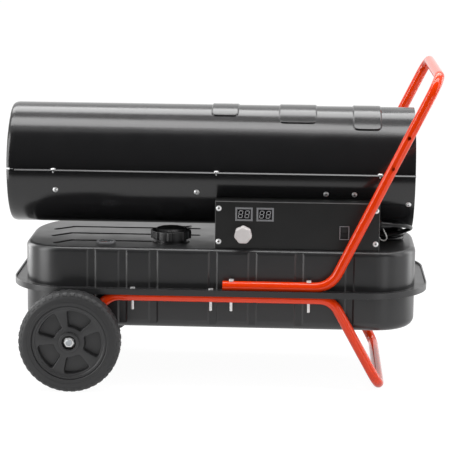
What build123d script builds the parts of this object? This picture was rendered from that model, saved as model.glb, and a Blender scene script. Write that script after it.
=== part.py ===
from build123d import *
from math import atan2, cos, degrees, hypot, pi, radians, sin, sqrt, tan
import os

os.makedirs("parts", exist_ok=True)

# Portable oil-fired forced-air heater, in millimetres
# X runs from the hot-air outlet to the push handle, Y is depth and Z is up, with the ground at Z = 0
# The side with the control box faces -Y

# Values that serve the whole heater
overrun = 1.0  # how far a cut runs past the face it opens
seat_gap = 0.3  # between curved or loosely seated pieces
running_gap = 0.05  # radial clearance of a shaft in its hole
half_turn = 180

# Fuel tank: two pressed halves that meet at a flange
tank_length = 777.0
tank_width = 344.0
tank_centre_x = -2.5
tank_near_r = 80.0
tank_far_r = 160.0
tank_drop = 79.0  # depth of the lower half
tank_rise = 81.0  # height of the upper half
tank_seam_z = 195.0
tank_wall = 1.5
tank_top_edge_r = 10.0
tank_low_edge_r = 18.0
tank_top_z = tank_seam_z + tank_rise
tank_bottom_z = tank_seam_z - tank_drop
channel_width = 22.0
channel_depth = 2.4
channel_slope = 36.0
channel_shares = (-0.323, -0.2439, -0.1654, -0.0148, 0.0852, 0.2033, 0.3308)
groove_width = 12.0
groove_depth = 4.5
groove_bend = 31.0  # side step of a groove's slanting start
groove_table_shares = (  # side place, far end, bend, start
    (0.241, -0.0675, -0.3971, -0.4408),
    (-0.16, -0.0637, -0.3945, -0.4357),
    (-0.587, -0.1821, -0.3829, -0.4202),
)
boss_rise = 3.0
boss_r = 18.0
boss_x_share = -0.1084
boss_y_share = 0.4

# Flange and its rolled lip
flange_front = 26.0
flange_rear = 25.0
flange_side = 28.0
flange_corner_r = 125.0
lip_wall = 2.5
lip_height = 12.0
lip_drop = 7.0  # part of the lip below the seam
flange_length = tank_length + flange_front + flange_rear
flange_width = tank_width + 2 * flange_side
flange_centre_x = tank_centre_x + (flange_rear - flange_front) / 2

# Tubes of the wheel frame and of the push handle
tube_d = 20.0
tube_wall = 2.0
tube_r = tube_d / 2
tube_clear = 2.0  # between tubes and the tank's side
tube_y = tank_width / 2 + tube_clear + tube_r
rail_z = tank_seam_z - tank_wall - tube_r
handle_z = tank_seam_z + tank_wall + tube_r
frame_front_x = -215.0
frame_rear_x = 220.0
frame_foot_x = 317.0
frame_bend_r = 42.0
foot_bend_r = 30.0
handle_low_x = 217.0
handle_top_x = 418.5
handle_top_z = 621.0
handle_low_bend_r = 50.0
handle_top_bend_r = 38.0
leg_end = 16.0  # frame tube past the axle
handle_hole_r = 3.5
handle_hole_shares = (0.575, 0.72)

# Bolts that hold tubes and flanges together
bolt_r = 3.0
bolt_hole_r = 3.25
bolt_head_r = 5.0
bolt_head_h = 3.5
bolt_tail = 17.0  # thread below the lower tube
handle_end = 17.0  # handle tube past its first bolt
rail_bolt_shares = (-0.2167, -0.0187)
handle_bolt_shares = (0.0328, 0.2284)
rail_bolt_xs = [tank_centre_x + s * tank_length for s in rail_bolt_shares]
handle_bolt_xs = [tank_centre_x + s * tank_length for s in handle_bolt_shares]

# Wheels and axle
wheel_r = 100.0
wheel_x = -290.0
wheel_out = 41.0  # middle plane of a wheel past the tubes' middle
wheel_track = 2 * (tube_y + wheel_out)
axle_r = 6.0
axle_end = 20.0  # axle past the middle plane of a wheel
axle_z = wheel_r
rim_r = 74.0
rim_lip = 10.0
rim_half = 17.0
rim_step = 3.0
web_half = 2.0
disc_out = 14.0
disc_in = 13.0
hub_r = 20.0
hub_out = 19.0
hub_in = 20.5
recess_r = 14.0
recess_depth = 10.0
window_r_in = 31.0
window_r_out = 61.0
window_span = 46.0
window_turn = -3.0
window_corner_r = 7.0
spoke_count = 5
tyre_half = 21.0
tread_half = 12.0
shoulder = 7.0
tyre_tuck = 6.0
nut_across = 17.0
nut_h = 6.5
washer_r = 12.5
washer_h = 1.2
spacer_r = 9.5

# Barrel: two shells round the burner
barrel_r = 121.0
barrel_wall = 1.2
barrel_front_x = -428.5
barrel_length = 809.5
barrel_lift = 22.0  # barrel above the tank
barrel_z = tank_top_z + barrel_lift + barrel_r
barrel_curl_l = 12.5
barrel_curl_h = 4.5
barrel_rear_x = barrel_front_x + barrel_length
seam_rise = 2.5
seam_gap = 0.4
seam_flange = 12.0  # flange of each shell past the barrel's outside
seam_flange_back = 18.0  # flanges start behind the outlet's rim
seam_lip = 3.0  # edge of the upper flange that bends down
seam_lip_angle = 40.0
lap_height = 14.0
rim_notch_l = 7.0  # notch in the rim where the shells meet
rim_notch_h = 3.4
pad_rise = 2.0
pad_edge = 1.2
pad_corner_r = 9.0
pad_table_shares = ((0.5, 0.063, 28.6), (0.667, 0.089, 37.5), (0.849, 0.066, 44.6))
barrel_axis = Axis((0, 0, barrel_z), (1, 0, 0))

# Screws of the barrel and of the control panel
screw_r = 2.0
screw_hole_r = 2.1
screw_length = 9.0
seam_screw_length = 7.0
screw_head_r = 4.6
screw_head_h = 2.6
screw_flange_r = 5.5
screw_flange_h = 0.9
seam_screw_shares = (0.1165, 0.5158, 0.9135)
side_screw_shares = (0.1204, 0.4673, 0.7836, 0.8528)
side_screw_angle = 18.6
tail_screw_share = 0.9852
tail_screw_angle = 28.5

# Saddles that carry the barrel on the tank
saddle_width = 50.0
saddle_half = 75.0
saddle_wall = 2.0
saddle_shares = (0.5652, 0.659)

# Combustion chamber, its shield, its brackets and the baffle in the outlet
chamber_clear = 33.0  # between the chamber and the barrel's outside
chamber_r = barrel_r - chamber_clear
chamber_wall = 1.5
chamber_front_x = -387.0
chamber_rear_x = 65.0
chamber_mouth_r = 60.0
shield_clear = 18.0
shield_r = barrel_r - shield_clear
shield_wall = 1.0
shield_front_x = -332.0
shield_rear_x = -27.0
bracket_width = 20.0
bracket_wall = 2.0
bracket_xs = (-359.0, 13.0)
shield_tab_x = -57.0
baffle_r = 66.0
baffle_wall = 1.5
baffle_stand = 9.0
baffle_dish = 7.0
stud_r = 3.0
stud_ring_r = 63.5
slot_ring_r = 44.0
slot_w = 7.0
slot_l = 24.0
slot_count = 10

# Burner head with nozzle, igniter and flame sensor
burner_wall = 2.0
burner_hub_r = 14.0
burner_hub_l = 22.0
nozzle_r = 10.0
nozzle_l = 44.0
nozzle_back = 8.0  # nozzle holder behind the burner hub
nozzle_tip_r = 3.0
nozzle_tip_l = 9.0
igniter_r = 5.0
igniter_l = 62.0
igniter_rise = 30.0
igniter_behind = 34.0
electrode_r = 1.25
electrode_l = 22.0
sensor_r = 5.0
sensor_reach = 40.0
sensor_box = 17.0
sensor_neck = 8.0

# Fan, motor and air pump on one shaft
shaft_r = 6.0
shaft_front_x = 201.0
motor_x = 243.0
motor_l = 84.0
motor_r = 54.0
motor_step = 12.0
motor_step_r = 40.0
fan_x = 206.0
fan_clear = 15.0
fan_r = barrel_r - fan_clear
fan_hub_r = 26.0
fan_hub_l = 30.0
fan_hub_wall = 4.0
blade_wall = 1.6
blade_chord = 52.0
blade_pitch = 32.0
blade_count = 6
blade_root = 3.0
pump_gap = 1.0
pump_r = 40.0
pump_back = 5.0
pump_ring_l = 18.0
pump_bore_r = 27.0
rotor_r = 24.0
pump_cover_l = 8.0
filter_r = 29.0
filter_l = 7.0
filter_slot_share = 0.6
filter_slots = 8
arm_x = 28.0  # bracket behind the motor's front face
arm_wall = 3.0
arm_width = 22.0
arm_ring = 10.0
arm_foot = 26.0
arm_foot_wall = 2.0
pump_x = motor_x + motor_l + pump_gap
pump_rotor_x = pump_x + pump_back
pump_cover_x = pump_rotor_x + pump_ring_l

# Inlet guard of welded wire
wire_r = 1.6
guard_inset = 6.0
guard_ring_shares = (0.24, 0.42, 0.6, 0.78, 1.0)
guard_spokes = 6
guard_turn = 15.0
guard_r = barrel_r - barrel_wall - wire_r - seat_gap
guard_x = barrel_rear_x - guard_inset

# Filler neck, cap and fuel gauge on the tank
filler_x = -102.0
filler_side = 79.0  # from the tank's near side
filler_y = filler_side - tank_width / 2
neck_r = 31.0
neck_wall = 2.0
neck_rise = 13.0
neck_drop = 22.0
neck_flange_r = 37.0
cap_r = 37.0
cap_lobe_r = 7.0
cap_lobe_count = 8
cap_rise = 7.0  # bottom of the cap above the tank
cap_h = 17.0
cap_dome = 4.0
cap_wall = 3.0
cap_bore_gap = 0.8
cap_edge_r = 2.5
gasket_h = 2.0
gauge_x = -230.0
gauge_side = 54.0
gauge_y = gauge_side - tank_width / 2
gauge_r = 19.0
gauge_h = 3.0
gauge_cup_r = 14.0
gauge_cup_depth = 2.0
gauge_stem_r = 8.0
gauge_stem_l = 64.0
lens_h = 0.8
pointer_l = 10.0
pointer_w = 1.6
pointer_h = 0.5
pointer_rise = 0.4
pointer_hub_r = 2.0
float_arm_l = 74.0
float_arm_r = 1.5
float_r = 12.0
float_l = 34.0
float_drop_angle = 48.0
float_eye_r = 4.0
float_eye_w = 4.0
float_pin_r = 2.0
fork_gap = 0.5
fork_h = 18.0
fork_pivot_share = 0.7
drain_x = 43.0
drain_r = 9.0
drain_h = 10.0
drain_flange_r = 14.0
drain_flange_h = 4.0

# Control box beside the barrel and what it holds
box_x = -11.0
box_length = 322.0
box_set_back = 12.0  # panel behind the tank's near side
box_front_y = box_set_back - tank_width / 2
box_depth = 85.0
box_height = 95.0
box_wall = 1.2
panel_wall = 1.5
box_barrel_gap = 0.4
panel_screw_side = 7.0
panel_screw_edge = 14.5
display_w = 34.0
display_h = 27.0
display_t = 9.0
display_proud = 0.6
display_gap = 7.5
display_side = 39.5
display_drop = 12.0
knob_side = 55.5
knob_lift = 30.0
knob_r = 16.2
knob_reach = 17.6  # from the axis to the top of a lobe
knob_lobe_r = 6.5
knob_lobes = 7
knob_l = 15.5
knob_gap = 1.5
knob_shaft_r = 3.0
bush_r = 4.5
bush_l = 2.5
bush_gap = 1.2
thermostat_r = 12.0
thermostat_l = 14.0
switch_end = 68.5  # from the box's rear end
switch_lift = 36.0
switch_w = 19.5
switch_h = 27.5
switch_bezel = 2.0
switch_body_w = 17.0
switch_body_h = 25.0
switch_body_l = 24.0
switch_wall = 1.4
rocker_gap = 0.4
rocker_h = 20.0
rocker_depth = 8.0
rocker_pin_r = 1.5
rocker_pin_l = 1.0
rocker_tilt = 7.0
rocker_back = 4.0
rocker_pivot = 3.0  # pivot behind the panel's front
board_side = 110.0
board_back = 47.0
board_l = 96.0
board_w = 52.0
board_t = 1.6
board_lift = 7.0
standoff_r = 3.0
chip_table_shares = ((-0.3, 0.15, 0.2, 0.36, 0.14), (0.0, 0.15, 0.2, 0.36, 0.14), (0.3, -0.1, 0.24, 0.5, 0.1))
coil_end = 73.0
coil_back = 55.0
coil_l = 60.0
coil_w = 46.0
coil_h = 34.0
board_x = box_x + board_side
board_y = box_front_y + board_back
coil_x = box_x + box_length - coil_end
coil_y = box_front_y + coil_back

# Power cord: gland, lead, stored hank, tail and plug
cord_d = 8.0
gland_y = -124.0
gland_z = 322.0
gland_nut_r = 11.0
gland_nut_l = 5.0
gland_body_r = 7.5
gland_tip_r = 5.2
gland_relief_l = 21.0
gland_inner_l = 6.0
hank_step = 9.0
hank_turn_r = 37.5
hank_front_x = 211.0
hank_rear_x = 334.0
hank_free_x = 315.0
hank_near_y = -68.0
waist_half = 38.0
waist_in = 6.0
tie_wall = 1.2
tie_width = 12.0
hank_low_z = tank_top_z + tie_wall + seat_gap + cord_d / 2
hank_high_z = hank_low_z + hank_step
plug_y = 84.0
plug_tail_x = 293.0
plug_tail_l = 22.0
plug_tail_r = 5.5
plug_l = 40.0
plug_r = 18.5
plug_back_r = 12.0
plug_pin_r = 2.4
plug_pin_l = 19.0
plug_pin_span = 19.0
plug_flat = 0.5
plug_z = tank_top_z + plug_r - plug_flat

# Fuel and air lines
line_r = 3.0
line_bend_r = 14.0
fuel_x = 148.0
pickup_lift = 8.0
pickup_r = 8.0
pickup_l = 26.0
air_reach = 113.0
air_front_x = 107.0
air_seat = 1.0


def finish(piece, name):
    piece.part.label = name
    export_step(piece.part, f"parts/{name}.step")


def radial_plane(x, angle):
    """Plane that holds the barrel's axis and leans by an angle from straight up towards +Y."""
    lean = radians(angle)
    return Plane(origin=(x, 0, barrel_z), x_dir=(1, 0, 0), z_dir=(0, -cos(lean), sin(lean)))


def radial_out(x, radius, angle):
    """Plane on the barrel's surface whose normal points outwards."""
    lean = radians(angle)
    normal = (0, sin(lean), cos(lean))
    place = (x, radius * normal[1], barrel_z + radius * normal[2])
    return Plane(origin=place, x_dir=(1, 0, 0), z_dir=normal)


def tank_place(x_share):
    return tank_centre_x + x_share * tank_length


def barrel_place(x_share):
    return barrel_front_x + x_share * barrel_length


# Outline of the tank, with wider corners at the far side
def tank_outline(inset):
    with BuildSketch() as outline:
        with Locations((tank_centre_x, 0)):
            Rectangle(tank_length - 2 * inset, tank_width - 2 * inset)
        fillet(outline.vertices().sort_by(Axis.Y)[:2], tank_near_r - inset)
        fillet(outline.vertices().sort_by(Axis.Y)[-2:], tank_far_r - inset)
    return outline.sketch


# Pressed forms of the tank halves, as solids that are one wall smaller for the inside
def upper_form(inset):
    with BuildPart() as form:
        with BuildSketch(Plane.XY.offset(tank_seam_z)):
            add(tank_outline(inset))
        extrude(amount=tank_rise - inset)
        fillet(form.faces().sort_by(Axis.Z)[-1].edges(), tank_top_edge_r - inset)
        with BuildSketch(Plane.XY.offset(tank_seam_z)):
            channels(inset)
        extrude(amount=tank_rise, mode=Mode.SUBTRACT)
        with BuildSketch(Plane.XY.offset(tank_top_z - inset)):
            for side, end, bend, start in groove_table_shares:
                y = side * tank_width / 2
                groove_leg((tank_place(bend), y), (tank_place(end), y), inset)
                groove_leg((tank_place(start), y - groove_bend), (tank_place(bend), y), inset)
        extrude(amount=-groove_depth, mode=Mode.SUBTRACT)
        with BuildSketch(Plane.XY.offset(tank_top_z - inset)):
            with Locations((tank_place(boss_x_share), boss_y_share * tank_width / 2)):
                Circle(boss_r - inset)
        extrude(amount=boss_rise, taper=45)
    return form.part


# Straight piece of a groove with round ends
def groove_leg(start, end, inset):
    run, climb = end[0] - start[0], end[1] - start[1]
    with Locations(((start[0] + end[0]) / 2, (start[1] + end[1]) / 2)):
        SlotCenterToCenter(hypot(run, climb), groove_width + 2 * inset, rotation=degrees(atan2(climb, run)))


def lower_form(inset):
    with BuildPart() as form:
        with BuildSketch(Plane.XY.offset(tank_seam_z)):
            add(tank_outline(inset))
        extrude(amount=-(tank_drop - inset))
        fillet(form.faces().sort_by(Axis.Z)[0].edges(), tank_low_edge_r - inset)
        with BuildSketch(Plane.XY.offset(tank_seam_z)):
            channels(inset)
        extrude(amount=-tank_drop, mode=Mode.SUBTRACT)
    return form.part


def channels(inset):
    depth = channel_depth + overrun
    for share in channel_shares:
        for side in (-1, 1):
            place = tank_width / 2 - inset - channel_depth + depth / 2
            with Locations(Location((tank_place(share), side * place, 0), (0, 0, (side + 1) * 90))):
                Trapezoid(channel_width + 2 * inset, depth, channel_slope)


def flange_outline(inset):
    with Locations((flange_centre_x, 0)):
        RectangleRounded(flange_length - 2 * inset, flange_width - 2 * inset, flange_corner_r - inset)


def flange_bolt_holes():
    for x in rail_bolt_xs + handle_bolt_xs:
        for side in (-1, 1):
            with Locations((x, side * tube_y)):
                Circle(bolt_hole_r)


# Lower half of the tank, with the lip rolled round its flange
lower_solid = lower_form(0)
lower_hollow = lower_form(tank_wall)
with BuildPart() as tank_lower:
    add(lower_solid)
    with BuildSketch(Plane.XY.offset(tank_seam_z - tank_wall)):
        flange_outline(0)
    extrude(amount=tank_wall)
    with BuildSketch(Plane.XY.offset(tank_seam_z - lip_drop)):
        flange_outline(0)
        with Locations((flange_centre_x, 0)):
            RectangleRounded(
                flange_length - 2 * lip_wall,
                flange_width - 2 * lip_wall,
                flange_corner_r - lip_wall,
                mode=Mode.SUBTRACT,
            )
    extrude(amount=lip_height)
    add(lower_hollow, mode=Mode.SUBTRACT)
    with BuildSketch(Plane.XY.offset(tank_seam_z - tank_wall)):
        flange_bolt_holes()
    extrude(amount=tank_wall, mode=Mode.SUBTRACT)
    with BuildSketch(Plane.XY.offset(tank_bottom_z)):
        with Locations((drain_x, 0)):
            Circle(drain_r + running_gap)
    extrude(amount=tank_wall, mode=Mode.SUBTRACT)
finish(tank_lower, "tank_lower")

# Upper half of the tank, with holes for the neck, the gauge and the fuel line
upper_solid = upper_form(0)
upper_hollow = upper_form(tank_wall)
with BuildPart() as tank_upper:
    add(upper_solid)
    with BuildSketch(Plane.XY.offset(tank_seam_z)):
        flange_outline(lip_wall + seat_gap)
    extrude(amount=tank_wall)
    add(upper_hollow, mode=Mode.SUBTRACT)
    with BuildSketch(Plane.XY.offset(tank_seam_z)):
        flange_bolt_holes()
    extrude(amount=tank_wall, mode=Mode.SUBTRACT)
    with BuildSketch(Plane.XY.offset(tank_top_z + overrun)):
        with Locations((filler_x, filler_y)):
            Circle(neck_r + running_gap)
        with Locations((gauge_x, gauge_y)):
            Circle(gauge_cup_r + running_gap)
        with Locations((fuel_x, 0)):
            Circle(line_r + seat_gap)
    extrude(amount=-(tank_wall + groove_depth + 2 * overrun), mode=Mode.SUBTRACT)
finish(tank_upper, "tank_upper")

# Drain plug in the bottom of the tank
with BuildPart() as drain_plug:
    with BuildSketch(Plane.XY.offset(tank_bottom_z)):
        with Locations((drain_x, 0)):
            Circle(drain_r)
    extrude(amount=drain_h)
    with BuildSketch(Plane.XY.offset(tank_bottom_z - drain_flange_h)):
        with Locations((drain_x, 0)):
            RegularPolygon(drain_flange_r, 6)
    extrude(amount=drain_flange_h)
finish(drain_plug, "drain_plug")

# Filler neck: a tube through the tank's top with a seating flange
with BuildPart() as filler_neck:
    with BuildSketch(Plane.XY.offset(tank_top_z - neck_drop)):
        with Locations((filler_x, filler_y)):
            Circle(neck_r)
    extrude(amount=neck_drop + neck_rise)
    with BuildSketch(Plane.XY.offset(tank_top_z)):
        with Locations((filler_x, filler_y)):
            Circle(neck_flange_r)
    extrude(amount=tank_wall)
    with BuildSketch(Plane.XY.offset(tank_top_z - neck_drop)):
        with Locations((filler_x, filler_y)):
            Circle(neck_r - neck_wall)
    extrude(amount=neck_drop + neck_rise, mode=Mode.SUBTRACT)
finish(filler_neck, "filler_neck")

# Fuel cap with grip lobes and a domed top
cap_low_z = tank_top_z + cap_rise
cap_seat_z = tank_top_z + neck_rise
with BuildPart() as fuel_cap:
    with BuildSketch(Plane.XY.offset(cap_low_z)):
        with Locations((filler_x, filler_y)):
            Circle(cap_r)
        with Locations((filler_x, filler_y)):
            with PolarLocations(cap_r - cap_lobe_r / 2, cap_lobe_count):
                Circle(cap_lobe_r)
    extrude(amount=cap_h)
    fillet(fuel_cap.faces().sort_by(Axis.Z)[-1].edges(), cap_edge_r)
    with BuildSketch(Plane.XY.offset(cap_low_z + cap_h)):
        with Locations((filler_x, filler_y)):
            Circle(cap_r - cap_lobe_r)
    extrude(amount=cap_dome, taper=45)
    with BuildSketch(Plane.XY.offset(cap_low_z)):
        with Locations((filler_x, filler_y)):
            Circle(neck_r + cap_bore_gap)
    extrude(amount=cap_seat_z + gasket_h - cap_low_z, mode=Mode.SUBTRACT)
    with BuildSketch(Plane.XY.offset(cap_seat_z)):
        with Locations((filler_x, filler_y)):
            Circle(neck_r - neck_wall)
    extrude(amount=cap_low_z + cap_h - cap_wall - cap_seat_z, mode=Mode.SUBTRACT)
finish(fuel_cap, "fuel_cap")

with BuildPart() as cap_gasket:
    with BuildSketch(Plane.XY.offset(cap_seat_z + seat_gap)):
        with Locations((filler_x, filler_y)):
            Circle(neck_r)
            Circle(neck_r - neck_wall, mode=Mode.SUBTRACT)
    extrude(amount=gasket_h - 2 * seat_gap)
finish(cap_gasket, "cap_gasket")

# Fuel gauge: a cup in the tank's top on a stem that ends in a fork for the float arm
float_pivot_z = tank_top_z - gauge_stem_l - fork_pivot_share * fork_h
with BuildPart() as gauge_housing:
    with BuildSketch(Plane.XY.offset(tank_top_z)):
        with Locations((gauge_x, gauge_y)):
            Circle(gauge_r)
    extrude(amount=gauge_h)
    fillet(gauge_housing.faces().sort_by(Axis.Z)[-1].edges(), lens_h)
    with BuildSketch(Plane.XY.offset(tank_top_z)):
        with Locations((gauge_x, gauge_y)):
            Circle(gauge_cup_r)
    extrude(amount=-2 * gauge_cup_depth)
    with BuildSketch(Plane.XY.offset(tank_top_z)):
        with Locations((gauge_x, gauge_y)):
            Circle(gauge_stem_r)
    extrude(amount=-gauge_stem_l)
    with BuildSketch(Plane.XY.offset(tank_top_z - gauge_stem_l)):
        with Locations((gauge_x, gauge_y)):
            Rectangle(2 * float_eye_r, 2 * gauge_stem_r)
            Rectangle(2 * float_eye_r, float_eye_w + 2 * fork_gap, mode=Mode.SUBTRACT)
    extrude(amount=-fork_h)
    with BuildSketch(Plane.XZ.offset(-gauge_y)):
        with Locations((gauge_x, float_pivot_z)):
            Circle(float_pin_r)
    extrude(amount=gauge_stem_r, both=True)
    with BuildSketch(Plane.XY.offset(tank_top_z + gauge_h)):
        with Locations((gauge_x, gauge_y)):
            Circle(gauge_cup_r)
    extrude(amount=-gauge_cup_depth - lens_h, mode=Mode.SUBTRACT)
finish(gauge_housing, "gauge_housing")

with BuildPart() as gauge_lens:
    with BuildSketch(Plane.XY.offset(tank_top_z + gauge_h - lens_h)):
        with Locations((gauge_x, gauge_y)):
            Circle(gauge_cup_r - running_gap)
    extrude(amount=lens_h)
finish(gauge_lens, "gauge_lens")

# Pointer on the gauge's dial, and the float arm that moves it
pointer_z = tank_top_z + gauge_h - gauge_cup_depth - lens_h + pointer_rise
with BuildPart() as gauge_pointer:
    with BuildSketch(Plane.XY.offset(pointer_z)):
        with Locations((gauge_x, gauge_y)):
            Circle(pointer_hub_r)
        with Locations((gauge_x - pointer_l / 2, gauge_y)):
            Rectangle(pointer_l, pointer_w)
    extrude(amount=pointer_h)
finish(gauge_pointer, "gauge_pointer")

float_lean = radians(float_drop_angle)
float_dir = Vector(cos(float_lean), 0, -sin(float_lean))
float_root = Vector(gauge_x, gauge_y, float_pivot_z)
with BuildPart() as float_arm:
    with BuildSketch(Plane.XZ.offset(-gauge_y - float_eye_w / 2)):
        with Locations((gauge_x, float_pivot_z)):
            Circle(float_eye_r)
    extrude(amount=float_eye_w)
    with BuildSketch(Plane(origin=float_root, z_dir=float_dir)):
        Circle(float_arm_r)
    extrude(amount=float_arm_l)
    float_low = float_root + float_dir * (float_arm_l - float_r)
    with BuildSketch(Plane(origin=float_low, x_dir=(0, 1, 0), z_dir=float_dir)):
        RectangleRounded(float_l, 2 * float_r, float_r / 2)
    extrude(amount=2 * float_r)
    with BuildSketch(Plane.XZ.offset(-gauge_y - float_eye_w)):
        with Locations((gauge_x, float_pivot_z)):
            Circle(float_pin_r + running_gap)
    extrude(amount=2 * float_eye_w, mode=Mode.SUBTRACT)
finish(float_arm, "float_arm")


# Bent tubes: one bent path, swept with a ring
def tube_along(points, radii):
    with BuildPart() as tube:
        with BuildLine() as path:
            FilletPolyline(*points, radius=radii)
        with BuildSketch(Plane(origin=path.line @ 0, z_dir=path.line % 0)):
            Circle(tube_r)
            Circle(tube_r - tube_wall, mode=Mode.SUBTRACT)
        sweep(path=path.line)
    return tube.part


def upright_holes(xs):
    for x in xs:
        for side in (-1, 1):
            with Locations((x, side * tube_y)):
                Circle(bolt_hole_r)


# Wheel frame: rails under the flange, legs down to the axle and a foot bar behind
leg_rise = rail_z - axle_z
leg_run = frame_front_x - wheel_x
leg_length = sqrt(leg_rise**2 + leg_run**2)
leg_tip_x = wheel_x - leg_end * leg_run / leg_length
leg_tip_z = axle_z - leg_end * leg_rise / leg_length
foot_z = tube_r
frame_points = [(leg_tip_x, -tube_y, leg_tip_z), (frame_front_x, -tube_y, rail_z)]
frame_points += [(frame_rear_x, -tube_y, rail_z), (frame_foot_x, -tube_y, foot_z)]
frame_points += [(x, -y, z) for x, y, z in reversed(frame_points)]
frame_radii = [frame_bend_r, frame_bend_r, foot_bend_r, foot_bend_r, frame_bend_r, frame_bend_r]
frame_tube = tube_along(frame_points, frame_radii)
with BuildPart() as lower_frame:
    add(frame_tube)
    with BuildSketch(Plane.XY.offset(rail_z - tube_d)):
        upright_holes(rail_bolt_xs + handle_bolt_xs)
    extrude(amount=2 * tube_d, mode=Mode.SUBTRACT)
    with BuildSketch(Plane.XZ.offset(-tube_y - tube_d)):
        with Locations((wheel_x, axle_z)):
            Circle(axle_r + running_gap)
    extrude(amount=2 * (tube_y + tube_d), mode=Mode.SUBTRACT)
finish(lower_frame, "lower_frame")

# Push handle: rails on the flange, sloping legs and a cross bar
handle_start_x = handle_bolt_xs[0] - handle_end
handle_points = [(handle_start_x, -tube_y, handle_z), (handle_low_x, -tube_y, handle_z)]
handle_points += [(handle_top_x, -tube_y, handle_top_z)]
handle_points += [(x, -y, z) for x, y, z in reversed(handle_points)]
handle_radii = [handle_low_bend_r, handle_top_bend_r, handle_top_bend_r, handle_low_bend_r]
handle_tube = tube_along(handle_points, handle_radii)
handle_run = handle_top_x - handle_low_x
handle_climb = handle_top_z - handle_z
with BuildPart() as push_handle:
    add(handle_tube)
    with BuildSketch(Plane.XY.offset(handle_z - tube_d)):
        upright_holes(handle_bolt_xs)
    extrude(amount=2 * tube_d, mode=Mode.SUBTRACT)
    for start in (-tube_y - tube_d, tube_y):
        with BuildSketch(Plane.XZ.offset(start)):
            for share in handle_hole_shares:
                with Locations((handle_low_x + share * handle_run, handle_z + share * handle_climb)):
                    Circle(handle_hole_r)
        extrude(amount=tube_d, mode=Mode.SUBTRACT)
finish(push_handle, "push_handle")

# Bolts through tubes and flanges, with their tails below the rails
tail_z = rail_z - tube_r - bolt_tail
with BuildPart() as frame_bolts:
    for xs, head_z in ((rail_bolt_xs, tank_seam_z + tank_wall), (handle_bolt_xs, handle_z + tube_r)):
        with BuildSketch(Plane.XY.offset(tail_z)):
            for x in xs:
                with Locations((x, -tube_y), (x, tube_y)):
                    Circle(bolt_r)
        extrude(amount=head_z - tail_z)
        with BuildSketch(Plane.XY.offset(head_z)):
            for x in xs:
                with Locations((x, -tube_y), (x, tube_y)):
                    Circle(bolt_head_r)
        extrude(amount=bolt_head_h)
finish(frame_bolts, "frame_bolts")

# Axle across the frame
axle_half = wheel_track / 2 + axle_end
with BuildPart() as axle:
    with BuildSketch(Plane.XZ.offset(-axle_half)):
        with Locations((wheel_x, axle_z)):
            Circle(axle_r)
    extrude(amount=2 * axle_half)
    chamfer(axle.edges().filter_by(GeomType.CIRCLE), bolt_r / 3)
finish(axle, "axle")


# Everything on the axle is a ring between two places along Y
def axle_ring(start_y, end_y, outer_r, inner_r):
    with BuildPart() as ring:
        with BuildSketch(Plane.XZ.offset(-start_y)):
            with Locations((wheel_x, axle_z)):
                Circle(outer_r)
                Circle(inner_r, mode=Mode.SUBTRACT)
        extrude(amount=start_y - end_y)
    return ring.part


hub_floor = hub_out - recess_depth
washer_start = wheel_track / 2 + hub_floor + seat_gap
nut_start = washer_start + washer_h
bore_r = axle_r + running_gap
with BuildPart() as axle_spacers:
    for side in (-1, 1):
        hub_y = wheel_track / 2 - hub_in - seat_gap
        add(axle_ring(side * (tube_y + tube_r), side * hub_y, spacer_r, bore_r))
finish(axle_spacers, "axle_spacers")

with BuildPart() as axle_nuts:
    for side in (-1, 1):
        add(axle_ring(side * washer_start, side * nut_start, washer_r, bore_r))
        with BuildSketch(Plane.XZ.offset(-side * nut_start)):
            with Locations((wheel_x, axle_z)):
                RegularPolygon(nut_across / 2, 6, major_radius=False)
                Circle(bore_r, mode=Mode.SUBTRACT)
        extrude(amount=-side * nut_h)
finish(axle_nuts, "axle_nuts")

# Window in the wheel disc: a ring sector with rounded corners
with BuildSketch() as window:
    half_span = radians(window_span / 2)
    far = 2 * window_r_out
    Circle(window_r_out)
    Circle(window_r_in, mode=Mode.SUBTRACT)
    far_corners = [(far * cos(half_span), side * far * sin(half_span)) for side in (-1, 1)]
    Polygon((0, 0), *far_corners, align=None, mode=Mode.INTERSECT)
    fillet(window.vertices(), window_corner_r)
window_face = window.sketch


def wheel_section(points, side):
    """Closed outline of half a wheel's section, from places along the axle and radii."""
    middle = side * wheel_track / 2
    Polyline(*[(middle + side * along, axle_z + radius) for along, radius in points], close=True)


rim_points = [(-hub_in, bore_r), (-hub_in, hub_r), (-disc_in, hub_r), (-disc_in, rim_r - rim_lip)]
rim_points += [(-rim_half, rim_r - rim_lip), (-rim_half, rim_r), (rim_half, rim_r)]
rim_points += [(rim_half, rim_r - rim_lip + rim_step), (disc_out, rim_r - rim_lip), (disc_out, hub_r)]
rim_points += [(hub_out, hub_r), (hub_out, recess_r), (hub_floor, recess_r), (hub_floor, bore_r)]
tyre_in_r = rim_r + seat_gap / 2
tyre_half_points = [(rim_half, tyre_in_r), (tyre_half, tyre_in_r + tyre_tuck)]
tyre_half_points += [(tyre_half, wheel_r - shoulder), (tread_half, wheel_r)]
tyre_points = [(-along, radius) for along, radius in tyre_half_points] + tyre_half_points[::-1]
wheel_axis = Axis((wheel_x, 0, axle_z), (0, 1, 0))

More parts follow.
